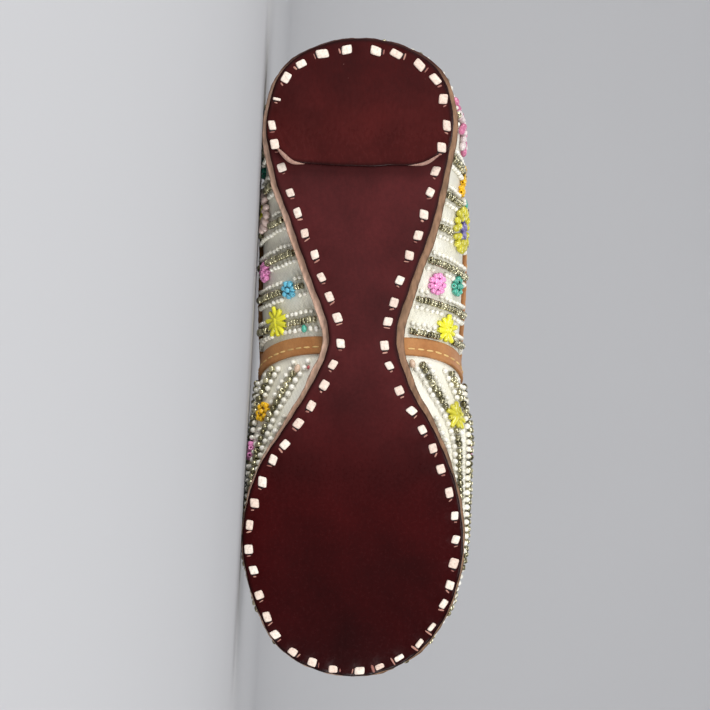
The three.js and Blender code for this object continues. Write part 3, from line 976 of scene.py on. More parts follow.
stitch_places = on_leather(stitch_plan)
down = np.tile([0.0, 0.0, -1.0], (stitch_count, 1))
along = np.column_stack([tangent, np.zeros(stitch_count)])
level_frames = np.stack([turned(along), turned(np.cross(down, along)), turned(down)], -1)
stitch_frames = tilted(level_frames, 0.09)
stitch_sizes = np.array(STITCH_SIZE) * chance.uniform(0.86, 1.1, (stitch_count, 3))
stitch_sizes[stitch_plan[:, 0] < 26, 0] *= 1.2  # the maker took longer ones round the heel
worn_thin = smoothstep(stitch_plan[:, 0], 208, 232) * (stitch_plan[:, 1] < -8)
stitch_sizes[:, 1] *= 1 - 0.42 * worn_thin
stitch_frames[..., 0] += stitch_frames[..., 1] * chance.normal(0.04, 0.13, (stitch_count, 1))
thin = int(np.argmin(np.linalg.norm(stitch_plan - (23.5, 31.0), axis=1)))
stitch_sizes[thin] = THIN_STITCH  # one strip lies on its edge
cushion = ball(8, 20, (0.36, 0.36, 0.7))
points, faces = joined(cushion, place(stitch_places + down * -0.05), stitch_frames, stitch_sizes)
make_piece("thong_stitches", points, faces, thong)

sliver = ball(6, 10, (0.8, 0.7, 1.0))
# The slits are dark slivers of painted shadow, standing in for the shade inside each awl slit.
slit_places = on_leather(stitch_plan + tangent * (stitch_sizes[:, :1] + 0.3)) - down * 0.1
points, faces = joined(sliver, place(slit_places), stitch_frames, SLIT_SIZE)
make_piece("awl_slit_shadows", points, faces, painted_slit_shadow)
past_stitch = stitch_sizes[:, :1] + chance.uniform(0.75, 1.1, (stitch_count, 1))
lip_places = on_leather(stitch_plan + tangent * past_stitch)
lip_sizes = np.array(LIP_SIZE) * chance.uniform(0.5, 1.2, (stitch_count, 3))
lip_sizes *= 1 + 0.5 * worn_thin[:, None]
points, faces = joined(sliver, place(lip_places), tilted(level_frames, 0.22), lip_sizes)
make_piece("torn_lips", points, faces, torn_dye)

# %% [markdown]
# ## The cloth upper
# The upper is undyed cotton in a plain weave over a soft leather lining, pulled down over the last
# and caught under the welt. Both are thin shells that follow the wall. The embroidery puckers the
# cloth slightly. The shoe lies on its outer side, so there the cloth is pressed in where its beads
# meet the table, and one small function keeps every layer clear of the table by its own distance.

# %% Layers on the wall
CLOTH_OUTSIDE = 0.9  # how far inside the wall's own surface, which the beads then come up to
CLOTH_THICKNESS = 0.4
LINING_OUTSIDE = 1.35
COLUMNS_AROUND, ROWS_UP = 420, 56


def clear_of_table(points, clearance):
    """Room points, lifted where they would come nearer to the table than this many millimetres."""
    softness = 0.6 * MM
    above = points[..., 2] - clearance * MM
    lifted = points.copy()
    lifted[..., 2] = clearance * MM + (above + np.sqrt(above**2 + softness**2)) / 2
    return lifted


def wall_shell(name, outside, inside, clearances, material, replaces=(), pucker=0.0):
    """A thin closed layer that follows the wall from the welt to the topline."""
    angles = np.arange(COLUMNS_AROUND)[:, None] * 2 * np.pi / COLUMNS_AROUND
    heights = (1 - np.cos(np.pi * np.linspace(0, 1, ROWS_UP))) / 2
    layers, flat_places = [], []
    for distance, clearance, rows in zip((outside, inside), clearances, (heights, heights[::-1])):
        points = off_wall(angles, rows[None], -distance)
        out = wall_directions(angles, rows[None])[2]
        points = points + out * pucker * ripple(points, 8, 31)[..., None]
        points[..., 2] -= (GAP + 0.03) * (1 - smoothstep(rows, 0, 0.02))
        around, up = np.interp(points[..., 0], fine_x, fine_length), reach_along(points)
        layers.append(clear_of_table(place(points), clearance))
        flat_places.append(np.stack([around, up, 0 * up], -1))
    points = np.concatenate(layers, 1)
    faces = grid_faces(COLUMNS_AROUND, points.shape[1], True, True)
    measures = {"on_cloth": np.concatenate(flat_places, 1).reshape(-1, 3)}
    make_piece(name, points.reshape(-1, 3), faces, material, replaces, measures)


# %% Cloth and lining finishes
THREAD = 0.85  # twice the real thread, which would be too fine to see

cream_cloth, tree, shader = start_material(
    "undyed cotton, plain weave", Roughness=0.88, Sheen_Weight=0.25, Specular_IOR_Level=0.25
)
laid = add_node(tree, "Attribute", output="Vector", attribute_name="on_cloth")
threads = add_node(tree, "VectorMath", {0: laid, "Scale": math.pi / THREAD}, operation="SCALE")
waves = add_node(tree, "VectorMath", (threads,), operation="SINE")
split = add_node(tree, "SeparateXYZ", (waves,), output=None)
weave = add_node(tree, "Math", (split.outputs["X"], split.outputs["Y"]), operation="MULTIPLY")
slubs = add_node(tree, "TexNoise", {"Vector": laid, "Scale": 1 / 2.5, "Detail": 3.0})
soil = add_node(tree, "TexNoise", {"Vector": laid, "Scale": 1 / 16, "Detail": 2.0})
yellowed = add_node(tree, "MapRange", (soil, 0.35, 0.7))
base = add_node(
    tree, "Mix", {FACTOR: yellowed, FIRST: linear("f1eee1"), SECOND: linear("e6e2d0")}, MIXED,
    data_type="RGBA",
)
shaded = add_node(tree, "MapRange", (weave, -1.0, 1.0, 0.93, 1.02))
tinted = add_node(tree, "VectorMath", {0: base, "Scale": shaded}, operation="SCALE")
tree.links.new(tinted, shader.inputs["Base Color"])
relief = add_node(tree, "Math", (slubs, 1.5, weave), operation="MULTIPLY_ADD")
bump = add_node(tree, "Bump", {"Height": relief, "Strength": 0.5, "Distance": 0.12 * MM})
tree.links.new(bump, shader.inputs["Normal"])


def make_tan_leather(name, pale, deep, pore, roughness):
    """Vegetable-tanned leather left its own colour: warm, with cloudy tanning and fine pores."""
    material, tree, shader = start_material(name, Roughness=roughness, Specular_IOR_Level=0.35)
    where = add_node(tree, "TexCoord", output="Object")
    clouds = add_node(tree, "TexNoise", {"Vector": where, "Scale": humps_per_metre(12), "Detail": 4.0})
    cloudy = add_node(tree, "MapRange", (clouds, 0.3, 0.7))
    base = add_node(
        tree, "Mix", {FACTOR: cloudy, FIRST: linear(pale), SECOND: linear(deep)}, MIXED,
        data_type="RGBA",
    )
    pores = add_node(tree, "TexVoronoi", {"Vector": where, "Scale": humps_per_metre(pore)}, "Distance")
    shade = add_node(tree, "MapRange", (pores, 0.0, 1.0, 0.9, 1.08))
    tinted = add_node(tree, "VectorMath", {0: base, "Scale": shade}, operation="SCALE")
    tree.links.new(tinted, shader.inputs["Base Color"])
    bump = add_node(tree, "Bump", {"Height": pores, "Strength": 0.25, "Distance": 0.15 * MM})
    tree.links.new(bump, shader.inputs["Normal"])
    return material


lining_leather = make_tan_leather("lining leather, vegetable tanned", "c9a57c", "b88e63", 1.0, 0.6)
insole_leather = make_tan_leather("insole leather, vegetable tanned", "c19a70", "a97d52", 1.2, 0.65)
strap_leather = make_tan_leather("tan strap leather", "b98350", "a0683a", 0.8, 0.5)
print("thread spacing", THREAD, "mm")

# %% Cloth, lining and insole
wall_shell(
    "upper_cloth", CLOTH_OUTSIDE, CLOTH_OUTSIDE + CLOTH_THICKNESS, (2.0, 2.4), cream_cloth,
    ["upper"], 0.1,
)
wall_shell("upper_lining", LINING_OUTSIDE, WALL, (2.45, 3.2), lining_leather)


def foot_rim(angle):
    """How wide the wall's bottom edge is, where it leans out."""
    flat = sole_normal(angle)
    out = wall_directions(angle, np.zeros_like(angle))[2]
    return np.minimum(WALL / np.maximum((out[..., :2] * flat).sum(-1), 0.1), WIDEST_FOOT_RIM)


insole_margin = welt_edge(ring_angles) - UPPER_INSET - foot_rim(ring_angles) - GAP


def insole_top(plan):
    """Worn a little hollow at the heel and under the ball."""
    heel_hollow = 0.5 * np.exp(-((plan[:, 0] - 24) / 16) ** 2 - (plan[:, 1] / 18) ** 2)
    ball_hollow = 0.4 * np.exp(-((plan[:, 0] - 185) / 22) ** 2 - (plan[:, 1] / 24) ** 2)
    return upper_bottom(plan[:, 0]) + INSOLE_THICKNESS - heel_hollow - ball_hollow


flat_piece(
    "insole_leather", lambda inset: edge_point(ring_angles, insole_margin - inset),
    soft_edge(lambda plan: upper_bottom(plan[:, 0]) - 0.02, insole_top, 0.5, 5.0),
    insole_leather, ["insole"],
)

# %% [markdown]
# ## Straps and binding
# A strip of tan leather crosses each side at the waist, where front and back of the upper meet, and
# is held by one row of cotton stitches nearer its front edge. The topline is bound with the same
# leather, folded over the edge and sewn down on both faces. Both are swept sections: the strap's runs
# up the wall, and the binding's goes once round the opening.

# %% The straps
STRAP_REAR, STRAP_FRONT = 116.5, 124.0
STRAP_FOOT, STRAP_HEAD = 0.0, 0.93
STRAP_TOP = 0.35  # how far its face stands off the wall's own surface


def strap_angles(side):
    """The angles of a strap's rear edge and of its front edge."""
    return side * angle_at(STRAP_REAR), side * angle_at(STRAP_FRONT)


def make_strap(name, side, node):
    """A strap as a flat section with rounded edges, run up the wall from the welt."""
    heights = np.linspace(STRAP_FOOT, STRAP_HEAD, 70)
    low = -CLOTH_OUTSIDE + 0.03
    section = [(0, low), (0, STRAP_TOP - 0.7), (0.015, STRAP_TOP - 0.3)]
    section += [(0.05, STRAP_TOP - 0.08), (0.11, STRAP_TOP)]
    section += [(share, STRAP_TOP + 0.06) for share in (0.25, 0.4, 0.5)]
    section += [(1 - share, level) for share, level in section[::-1][1:]]
    section += [(share, low) for share in (0.8, 0.6, 0.4, 0.2)]
    across, level = np.array(section).T
    rear, front = strap_angles(side)
    angles = rear + (front - rear) * across
    points = off_wall(angles[None], heights[:, None], level[None])
    points[..., 2] -= (GAP - 0.02) * (1 - smoothstep(heights, 0, 0.03))[:, None]
    room = clear_of_table(place(points), 0.5)
    make_piece(
        name, room.reshape(-1, 3), tube_faces(len(heights), len(section)), strap_leather,
        [node], {"in_shoe": points.reshape(-1, 3)},
    )


make_strap("side_strap_outer_leather", 1, "side_strap_outer")
make_strap("side_strap_inner_leather", -1, "side_strap_inner")

# %% The binding
BINDING_DEPTH = 4.5
BINDING_OUT, BINDING_IN = 1.15, 3.2
BINDING_RISE = 1.15
BINDING_COLUMNS = 330
NEAR_TOP = 0.97  # a height a little below the topline, which tells how the wall runs up to it


def topline_height(angle, depth):
    """The height on the wall that is this many millimetres below the topline."""
    last_part = np.linalg.norm(wall_point(angle, 1.0) - wall_point(angle, NEAR_TOP), axis=-1)
    return 1 - depth / last_part * (1 - NEAR_TOP)


def make_binding(name):
    """The binding as a closed section, drawn column by column round the topline."""
    angles = np.arange(BINDING_COLUMNS)[:, None] * 2 * np.pi / BINDING_COLUMNS
    top = wall_point(angles, 1.0)
    up = unit(top - wall_point(angles, NEAR_TOP))
    out = wall_directions(angles, np.ones_like(angles))[2]
    waver = 0.18 * ripple(top, 12, 41)[:, 0]

    def down_the_wall(depths, distance):
        heights = topline_height(angles, np.array(depths)[None] + waver[:, None])
        return off_wall(angles, heights, distance)

    def over_the_top(middle, half, rise, turns):
        spread = out * (middle + half * np.cos(turns))[None, :, None]
        return top + spread + up * (rise * np.sin(turns))[None, :, None]

    middle = (BINDING_OUT - BINDING_IN) / 2
    half = (BINDING_OUT + BINDING_IN) / 2
    turns = np.linspace(0.15, np.pi - 0.15, 9)
    # From the outer edge up, over the topline, down the inside, and back up within the wall.
    parts = [
        down_the_wall([BINDING_DEPTH], BINDING_OUT - 0.75),
        down_the_wall([BINDING_DEPTH - 0.08], BINDING_OUT - 0.3),
        down_the_wall(
            [4.1, 3.2, 2.2, 1.2, 0.3], BINDING_OUT + np.array([-0.03, -0.12, 0.02, 0.04, 0.0])
        ),
        over_the_top(middle, half, BINDING_RISE, turns),
        down_the_wall([0.3, 1.2, 2.2, 3.2, 4.1], -BINDING_IN + np.array([0, -0.04, -0.02, 0.12, 0.03])),
        down_the_wall([BINDING_DEPTH - 0.08], -BINDING_IN + 0.3),
        down_the_wall([BINDING_DEPTH], -WALL - 0.03),
        down_the_wall([2.0, 0.3], -WALL - 0.03),
        over_the_top(-1.55, 0.66, 0.12, np.array([2.6, 0.6])),
        down_the_wall([0.3, 2.0, 4.3], -CLOTH_OUTSIDE + 0.03),
    ]
    points = np.concatenate(parts, 1)
    room = clear_of_table(place(points), 0.02)
    faces = grid_faces(BINDING_COLUMNS, points.shape[1], True, True)
    make_piece(name, room.reshape(-1, 3), faces, strap_leather, ["collar_binding"])


make_binding("collar_binding_leather")

# %% [markdown]
# ## Places on the cloth
# Everything sewn to the cloth asks the same thing: a line across it, given by the angle and height of
# its points on the last, and places at an even pitch along that line. Each place also has three
# directions, so that a bead can lie along its row and a stitch can lie flat.

# %% Lines and places
GRID_STEPS, GRID_ROWS = 500, 160  # of a net of the wall's points, in which places are looked up
grid_half = np.linspace(0, np.pi, GRID_STEPS + 1)
grid_heights = np.linspace(0, 1, GRID_ROWS + 1)
wall_grid = {side: wall_point(side * grid_half[:, None], grid_heights[None]) for side in (1, -1)}


def angle_where(side, heights, x):
    """The angle at which the wall, at each height, is x from the back of the heel."""
    heights, x = np.broadcast_arrays(np.asarray(heights, float), np.asarray(x, float))
    rows = np.clip(heights * GRID_ROWS, 0, GRID_ROWS)
    low = np.minimum(rows.astype(int), GRID_ROWS - 1)
    share = rows - low
    found = []
    for row, part, goal in zip(low, share, x):
        reach = wall_grid[side][:, row, 0] * (1 - part) + wall_grid[side][:, row + 1, 0] * part
        found.append(np.interp(goal, reach, grid_half))
    return side * np.array(found)


def along_line(angles, heights, pitch, distance=-CLOTH_OUTSIDE):
    """Angles and heights at an even pitch along a line on the wall."""
    length = reach_along(off_wall(angles, heights, distance))
    count = max(int(length[-1] / pitch), 1)
    at = (np.arange(count) + 0.5) * length[-1] / count
    return np.interp(at, length, angles), np.interp(at, length, heights)


def on_wall(angles, heights, distance, clearance):
    """Room points at a distance off the wall, kept clear of the table."""
    return clear_of_table(place(off_wall(angles, heights, distance)), clearance)


def row_frames(angles, heights):
    """For each place on a row: along the row, across it, and out of the wall, as room directions."""
    points = wall_point(angles, heights)
    along = np.gradient(points, axis=0) if len(points) > 1 else wall_directions(angles, heights)[1]
    out = wall_directions(angles, heights)[2]
    along = unit(along - out * (along * out).sum(-1, keepdims=True))
    return np.stack([turned(along), turned(np.cross(out, along)), turned(out)], -1)


middle_row = along_line(np.linspace(0, 2 * np.pi, 721), np.full(721, 0.5), 4.0)
print("half way up the wall there is room for", len(middle_row[0]), "stitches in a row")

# %% [markdown]
# ## Sewing on the leather
# The thread is thick waxed cotton, gold on the outer side. A stitch between two holes is a short
# rounded rod that sinks at both ends, and a row is the same rod repeated every four millimetres.

# %% Stitch rows on straps and binding
STITCH_LONG, STITCH_THICK, STITCH_PITCH = 3.2, 0.72, 4.0
STRAP_ROW = 0.63  # where the row is, from the strap's rear edge to its front one
BINDING_ROW = 3.2  # how far below the topline

cotton_thread = make_two_tone(
    "waxed cotton thread", ("e2bf7c", "c9a468"), (0.4, 2.0), (0.0, 1.0, 0.7, 1.25), (0.5, 0.15),
    Roughness=0.6,
)
rod = ball(8, 14, (0.75, 1.0, 1.0))


def sew(name, lines):
    """One joined mesh of stitches. A line has its angles, heights and distance off the wall."""
    centres, frames = [], []
    for angles, heights, distance in lines:
        angles, heights = along_line(angles, heights, STITCH_PITCH, distance)
        centres.append(on_wall(angles, heights, distance, STITCH_THICK / 2))
        frames.append(row_frames(angles, heights))
    centres, frames = np.concatenate(centres), tilted(np.concatenate(frames), 0.05)
    size = np.array([STITCH_LONG, STITCH_THICK, STITCH_THICK * 0.85]) / 2
    points, faces = joined(rod, centres, frames, size * chance.uniform(0.9, 1.08, (len(centres), 1)))
    make_piece(name, points, faces, cotton_thread)


strap_heights = np.linspace(0.02, STRAP_HEAD - 0.02, 80)
strap_lines = []
for side in (1, -1):
    rear, front = strap_angles(side)
    row_angles = np.full(len(strap_heights), rear + (front - rear) * STRAP_ROW)
    strap_lines.append((row_angles, strap_heights, STRAP_TOP + 0.05))
sew("strap_stitches", strap_lines)

loop = np.linspace(0, 2 * np.pi, 721)
row_heights = topline_height(loop, BINDING_ROW)
binding_faces = (BINDING_OUT - 0.1, -BINDING_IN + 0.1)
sew("binding_stitches", [(loop, row_heights, distance) for distance in binding_faces])

# %% The dark cord in the feather line
CORD_RADIUS = 0.42
CORD_TURNS = 190  # it dips in and out this often on its way round

brown_cord = make_mottled("brown waxed cord", ("4a2d1c", "8a6140"), 1.6, Roughness=0.7)
cord_angles = loop[:-1]
cord_depths = -0.62 + 0.08 * np.sin(cord_angles * CORD_TURNS)
line = off_wall(cord_angles, np.full(len(cord_angles), 0.006), cord_depths)
line[:, 2] = upper_bottom(line[:, 0]) + 0.2
rings = tube_points(np.concatenate([line, line[:1]]), np.full(len(loop), CORD_RADIUS), 8)[:-1]
cord_faces = tube_faces(len(line), 8, True)
make_piece("feather_cord", place(rings.reshape(-1, 3)), cord_faces, brown_cord)

# %% [markdown]
# ## Rows of beads
# The embroidery is couched rows: one of metal-lined seed beads, with a row of pearls on each side. On
# the back part the rows climb the wall and lean towards the toe. On the front they run lengthwise, at
# even distances from the ridge. Imitation pearls are glass balls in a milky lacquer, and seed beads
# are short pieces of glass tube, tumbled round, whose hole lies along the row.

# %% Bead shapes
BEAD_BALL = ball(8, 12)


def tube_bead(around=10):
    """A glass tube with rounded ends and a hole, of radius 1, that reaches 1 each way along its row."""
    outline = [(0.38, 0.96), (0.7, 1.0), (0.93, 0.78), (1.0, 0.3)]
    outline += [(radius, -along) for radius, along in outline[::-1]]
    radius, along = np.array(outline).T
    spin = np.arange(around) * 2 * np.pi / around
    points = np.stack([
        np.outer(np.ones(around), along), np.outer(np.cos(spin), radius), np.outer(np.sin(spin), radius),
    ], -1)
    return points.reshape(-1, 3), list(grid_faces(around, len(outline), True, True))


BEAD_TUBE = tube_bead()
print("points in a pearl and in a seed bead:", len(BEAD_BALL[0]), len(BEAD_TUBE[0]))

# %% Rows on the quarter
ROW_LEAN = 8.0
PEARL_OFFSET = 3.2
FOOT_X = {1: (41, 54.7, 68.3, 81.3, 94.3, 107.4), -1: (43.4, 57.7, 70.6, 83.6, 99, 111.6)}
HEEL_ROW_STEP = 14.2
ROW_POINTS = 70
ROW_FOOT = 0.03


def climbing_row(side, foot_x):
    """A line up the wall from its foot, leaning towards the toe."""
    heights = np.linspace(ROW_FOOT, 0.885, ROW_POINTS)
    lean = ROW_LEAN * smoothstep(heights, -0.35, 0.75) * smoothstep(foot_x, 0, 45)
    return angle_where(side, heights, foot_x + lean), heights


def heel_row(walk):
    """A line up the back of the heel, at a distance round it from the middle of the back."""
    angle = np.sign(walk) * np.interp(abs(walk), fine_length, fine)
    return np.full(ROW_POINTS, angle), np.linspace(ROW_FOOT, 0.905, ROW_POINTS)


quarter_lines = {"pearl": [], "gold": []}
for side, feet in FOOT_X.items():
    for foot_x in feet:
        quarter_lines["gold"].append(climbing_row(side, foot_x))
        for offset in (-PEARL_OFFSET, PEARL_OFFSET):
            if foot_x + offset < STRAP_REAR - 4:
                quarter_lines["pearl"].append(climbing_row(side, foot_x + offset))
first_walks = {side: np.interp(feet[0], fine_x, fine_length) for side, feet in FOOT_X.items()}
heel_span = first_walks[1] + first_walks[-1]
heel_rows = round(heel_span / HEEL_ROW_STEP)
for n in range(1, heel_rows):
    walk = first_walks[1] - n * heel_span / heel_rows
    quarter_lines["gold"].append(heel_row(walk))
    for offset in (-PEARL_OFFSET, PEARL_OFFSET):
        quarter_lines["pearl"].append(heel_row(walk + offset))
for side in (1, -1):
    behind_strap = np.full(ROW_POINTS, strap_angles(side)[0] - side * 0.0235)
    quarter_lines["pearl"].append((behind_strap, np.linspace(ROW_FOOT, 0.9, ROW_POINTS)))
print(len(quarter_lines["gold"]), "climbing gold rows,", len(quarter_lines["pearl"]), "of pearls")

# %% Rows on the vamp
VAMP_ROWS = (0, 12, 24, 36, 48, 60, 72)
VAMP_OFFSETS = (("gold", 0.0), ("pearl", 3.0), ("pearl", -3.0))
BINDING_CLEARANCE = 5.4
THROAT_END = 165.0  # the opening reaches this far from the back of the heel


def section_at(side, x):
    """The wall cut square across at x: how far up each point is, its angle, height and place."""
    ridge = wall_grid[side][-1, :, 0]
    heights = grid_heights[ridge >= x - 1e-9]
    if len(heights) < len(grid_heights):
        heights = np.append(heights, np.interp(-x, -ridge, grid_heights))
    angles = angle_where(side, heights, np.full(len(heights), float(x)))
    points = wall_point(angles, heights)
    return reach_along(points), angles, heights, points


def vamp_row(side, from_ridge):
    """A line along the vamp at a distance from its ridge, and how far below the topline it is."""
    angles, heights, below_top = [], [], []
    for x in np.linspace(112.0, 249.0, 110):
        up, section_angles, section_heights, points = section_at(side, x)
        at_throat = x < THROAT_END
        girth = up[-1] + (1.03 * abs(points[-1, 1]) if at_throat else 0.0)
        spread = 1 + 0.15 * max((THROAT_END - x) / 40, 0) ** 1.5
        goal = girth - from_ridge * spread
        if goal < 0.8 or goal > up[-1]:
            continue
        angles.append(np.interp(goal, up, section_angles))
        heights.append(np.interp(goal, up, section_heights))
        below_top.append(up[-1] - goal if at_throat else np.inf)
    return np.array(angles), np.array(heights), np.array(below_top)


vamp_lines = {"pearl": [], "gold": []}
for side in (1, -1):
    for distance in VAMP_ROWS:
        for kind, offset in VAMP_OFFSETS:
            from_ridge = distance + offset
            if from_ridge < 0 or (side < 0 and distance == 0 and offset <= 0):
                continue
            angles, heights, below_top = vamp_row(side, from_ridge)
            keep = below_top > BINDING_CLEARANCE
            if keep.sum() > 4:
                vamp_lines[kind].append((angles[keep], heights[keep]))
# One more row of pearls follows the welt wherever the lengthwise rows leave room for it.
WELT_ROW_HEIGHT = 2.7
ROOM_FOR_PEARLS = 2.9
taken = [off_wall(*line, 0.0) for lines in vamp_lines.values() for line in lines]
taken = np.concatenate(taken)
for side in (1, -1):
    angles, heights = [], []
    for x in np.linspace(147, 236, 150):
        up, section_angles, section_heights, _ = section_at(side, x)
        angles.append(np.interp(WELT_ROW_HEIGHT, up, section_angles))
        heights.append(np.interp(WELT_ROW_HEIGHT, up, section_heights))
    angles, heights = np.array(angles), np.array(heights)
    gaps = np.linalg.norm(off_wall(angles, heights, 0.0)[:, None] - taken[None], axis=-1).min(1)
    free = gaps > ROOM_FOR_PEARLS
    for run in np.split(np.arange(len(free)), np.flatnonzero(np.diff(free)) + 1):
        if free[run[0]] and len(run) > 5:
            vamp_lines["pearl"].append((angles[run], heights[run]))
print(len(vamp_lines["gold"]), "lengthwise gold rows,", len(vamp_lines["pearl"]), "of pearls")

# %% [markdown]
# ## Flowers
# Small flowers are scattered over the rows, in opaque glass: rosettes of seed beads, stars of long
# bugle beads, and large wheels with a ring of ovals round a centre. Each was sewn by hand where there
# was room, so they are a short list of places, kinds and colours, and the rows stop under them.

# %% Kinds of flower
SEED_RADIUS = 1.2


# Each bead is its place along and up, its turn, half length and radius, and which colour it has.
def bead_at(turn, reach, half_length, radius, colour=0, flatness=1.0):
    """A bead at a reach from the flower's middle, which points away from it."""
    along, up = reach * np.cos(turn), flatness * reach * np.sin(turn)
    return along, up, turn, half_length, radius, colour


def rosette(size):
    """Seed beads round a middle one, with four more between them if there is room."""
    ring = size / 2 - SEED_RADIUS
    count = max(5, round(2 * np.pi * ring / 2.35))
    beads = [(0.0, 0.0, 0.4, 0.9, SEED_RADIUS, 0)]
    beads += [bead_at(2 * np.pi * n / count, ring, 1.0, SEED_RADIUS) for n in range(count)]
    if ring > 3.0:
        beads += [bead_at(np.pi * (n / 2 + 0.2), 0.5 * ring, 1.0, SEED_RADIUS) for n in range(4)]
    return beads


def star(size):
    """Bugle beads that spread from the middle, over a few short ones."""
    beads = [(0.0, 0.0, 0.5, 1.7, 1.1, 0), (0.5, 0.4, 2.0, 1.6, 1.1, 0)]
    for n in range(10):
        reach = size / 4 * (1.0 if n % 2 else 0.84)
        beads.append(bead_at(2 * np.pi * n / 10, reach + 0.7, reach, 1.12))
    return beads


def wheel(size):
    """A double ring of ovals round a bunch of short tubes in a second colour."""
    ring = size / 2 - 1.9
    count = round(2 * np.pi * ring / 3.1)
    beads = []
    for n in range(count):
        turn = 2 * np.pi * n / count
        beads.append(bead_at(turn, ring, 2.2, 1.5, 0, 0.9))
        if n % 2 == 0:
            beads.append(bead_at(turn + np.pi / count, ring - 2.4, 1.8, 1.35, 0, 0.9))
    for n in range(7):
        turn = 2 * np.pi * n / 7
        beads.append((0.24 * size * np.cos(turn), 0.14 * size * np.sin(turn), turn * 0.3, 1.6, 1.05, 1))
    beads += [(-1.2, 0.0, 0.2, 1.6, 1.1, 1), (1.4, 0.3, -0.2, 1.6, 1.1, 1)]
    return beads


def daisy(size):
    """Petals of three long ovals, by turns in two colours, round one bead."""
    beads = [(0.0, 0.0, 0.3, 1.7, 1.5, 1)]
    for n in range(10):
        for share, half_length in ((0.17, 1.7), (0.31, 2.1), (0.43, 2.3)):
            beads.append(bead_at(2 * np.pi * n / 10, size * share, half_length, 1.45, n % 2, 0.8))
    return beads


def bar(size):
    """Two short columns of seed beads, side by side."""
    steps = np.arange(-size / 2 + 1.1, size / 2 - 1.0, 2.1)
    return [(step, side, 0.0, 0.95, 1.15, 0) for side in (-1.1, 1.1) for step in steps]


def single(size):
    """One oval bead."""
    return [(0.0, 0.0, 0.2, size / 2, size / 3, 0)]


KINDS = {
    "rosette": rosette, "star": star, "wheel": wheel, "daisy": daisy, "bar": bar, "single": single,
}
print("a rosette of 8 mm has", len(rosette(8.0)), "beads, and a wheel of 18 mm", len(wheel(18.0)))

# %% Where the flowers are
# side, x from the heel, share of the wall's height, kind, size across in mm, its colours
FLOWERS = (
    (1, 50.0, 0.38, "bar", 9.5, ("teal",)),
    (1, 66.5, 0.44, "wheel", 18.0, ("pale_pink", "yellow")),
    (1, 91.1, 0.53, "rosette", 8.6, ("pink",)),
    (1, 98.4, 0.18, "rosette", 7.6, ("sky_blue",)),
    (1, 111.2, 0.37, "star", 12.0, ("yellow",)),
    (1, 113.6, 0.12, "single", 3.6, ("teal",)),
    (1, 147.0, 0.25, "rosette", 8.4, ("amber",)),
    (1, 162.5, 0.31, "rosette", 8.0, ("pink",)),
    (1, 156.5, 0.60, "rosette", 6.4, ("sky_blue",)),
    (1, 186.5, 0.27, "star", 9.0, ("lemon",)),
    (1, 129.6, 0.105, "single", 3.8, ("beige",)),
    (1, 128.9, 0.045, "single", 1.8, ("red",)),
    (1, 24.0, 0.62, "rosette", 8.0, ("amber",)),
    (1, 168.0, 0.70, "star", 11.0, ("yellow",)),
    (1, 205.0, 0.50, "wheel", 17.0, ("lemon", "lilac")),
    (1, 226.0, 0.30, "rosette", 7.6, ("pink",)),
    (-1, 31.0, 0.40, "daisy", 25.0, ("magenta", "white")),
    (-1, 49.0, 0.56, "rosette", 5.2, ("amber",)),
    (-1, 53.3, 0.47, "rosette", 5.2, ("amber",)),
    (-1, 57.6, 0.38, "rosette", 5.2, ("amber",)),
    (-1, 62.5, 0.72, "rosette", 5.0, ("teal",)),
    (-1, 73.1, 0.43, "wheel", 19.0, ("lemon", "lilac")),
    (-1, 95.2, 0.17, "rosette", 9.2, ("pink",)),
    (-1, 95.6, 0.46, "rosette", 8.4, ("teal",)),
    (-1, 113.0, 0.34, "star", 10.5, ("yellow",)),
    (-1, 147.2, 0.215, "star", 10.5, ("lemon",)),
    (-1, 126.9, 0.03, "single", 3.6, ("beige",)),
    (-1, 163.0, 0.52, "rosette", 8.4, ("pink",)),
    (-1, 176.0, 0.72, "rosette", 6.4, ("sky_blue",)),
    (-1, 196.0, 0.42, "star", 11.0, ("yellow",)),
    (-1, 219.0, 0.42, "rosette", 8.4, ("amber",)),
    (-1, 8.0, 0.45, "rosette", 8.4, ("sky_blue",)),
    (1, 178.0, 0.915, "rosette", 8.4, ("teal",)),
    (-1, 208.0, 0.80, "rosette", 8.4, ("pink",)),
)
GLASS_COLOURS = {
    "teal": "4fb59c", "sky_blue": "6cc6e2", "pink": "fa9fd6", "pale_pink": "ecd2c8", "yellow": "f4ee3a",
    "amber": "f7c000", "lemon": "d9d03e", "lilac": "7a70a8", "magenta": "d77aa0", "white": "ecdcdb",
    "beige": "ddbfa4", "red": "d2474f",
}

flower_angles = np.array([angle_where(side, [height], [x])[0] for side, x, height, *_ in FLOWERS])
flower_heights = np.array([flower[2] for flower in FLOWERS])
flower_sizes = np.array([flower[4] for flower in FLOWERS])
flower_spots = off_wall(flower_angles, flower_heights, -CLOTH_OUTSIDE)
print(len(FLOWERS), "flowers")


def clear_of_flowers(angles, heights, room):
    """Which places are outside every flower by this much."""
    points = off_wall(angles, heights, -CLOTH_OUTSIDE)
    far = np.linalg.norm(points[:, None] - flower_spots[None], axis=-1)
    return (far > flower_sizes / 2 + room).all(1)


def off_straps(angles, on_vamp):
    """Which places of a row are on its own side of the straps, and clear of them."""
    half = folded(angles)[0]
    return half > angle_at(STRAP_FRONT) + 0.02 if on_vamp else half < angle_at(STRAP_REAR) - 0.012


# %% Finishes of the beads
pearl = make_two_tone(
    "imitation pearl, lacquered glass", ("f4f1e6", "e3dfcf"), Roughness=0.22, IOR=1.55, Coat_Weight=0.5
)
gold_bead = make_two_tone(
    "metal-lined glass seed bead", ("5f5836", "d9d2ae"), Roughness=0.26, Metallic=0.85, Coat_Weight=0.8
)
print("bead finishes:", pearl.name, "and", gold_bead.name)

# %% Sew on the rows
HEEL_BACK, HEEL_BACK_BEAD = 16.0, 1.05  # smaller beads go round the tight back of the heel


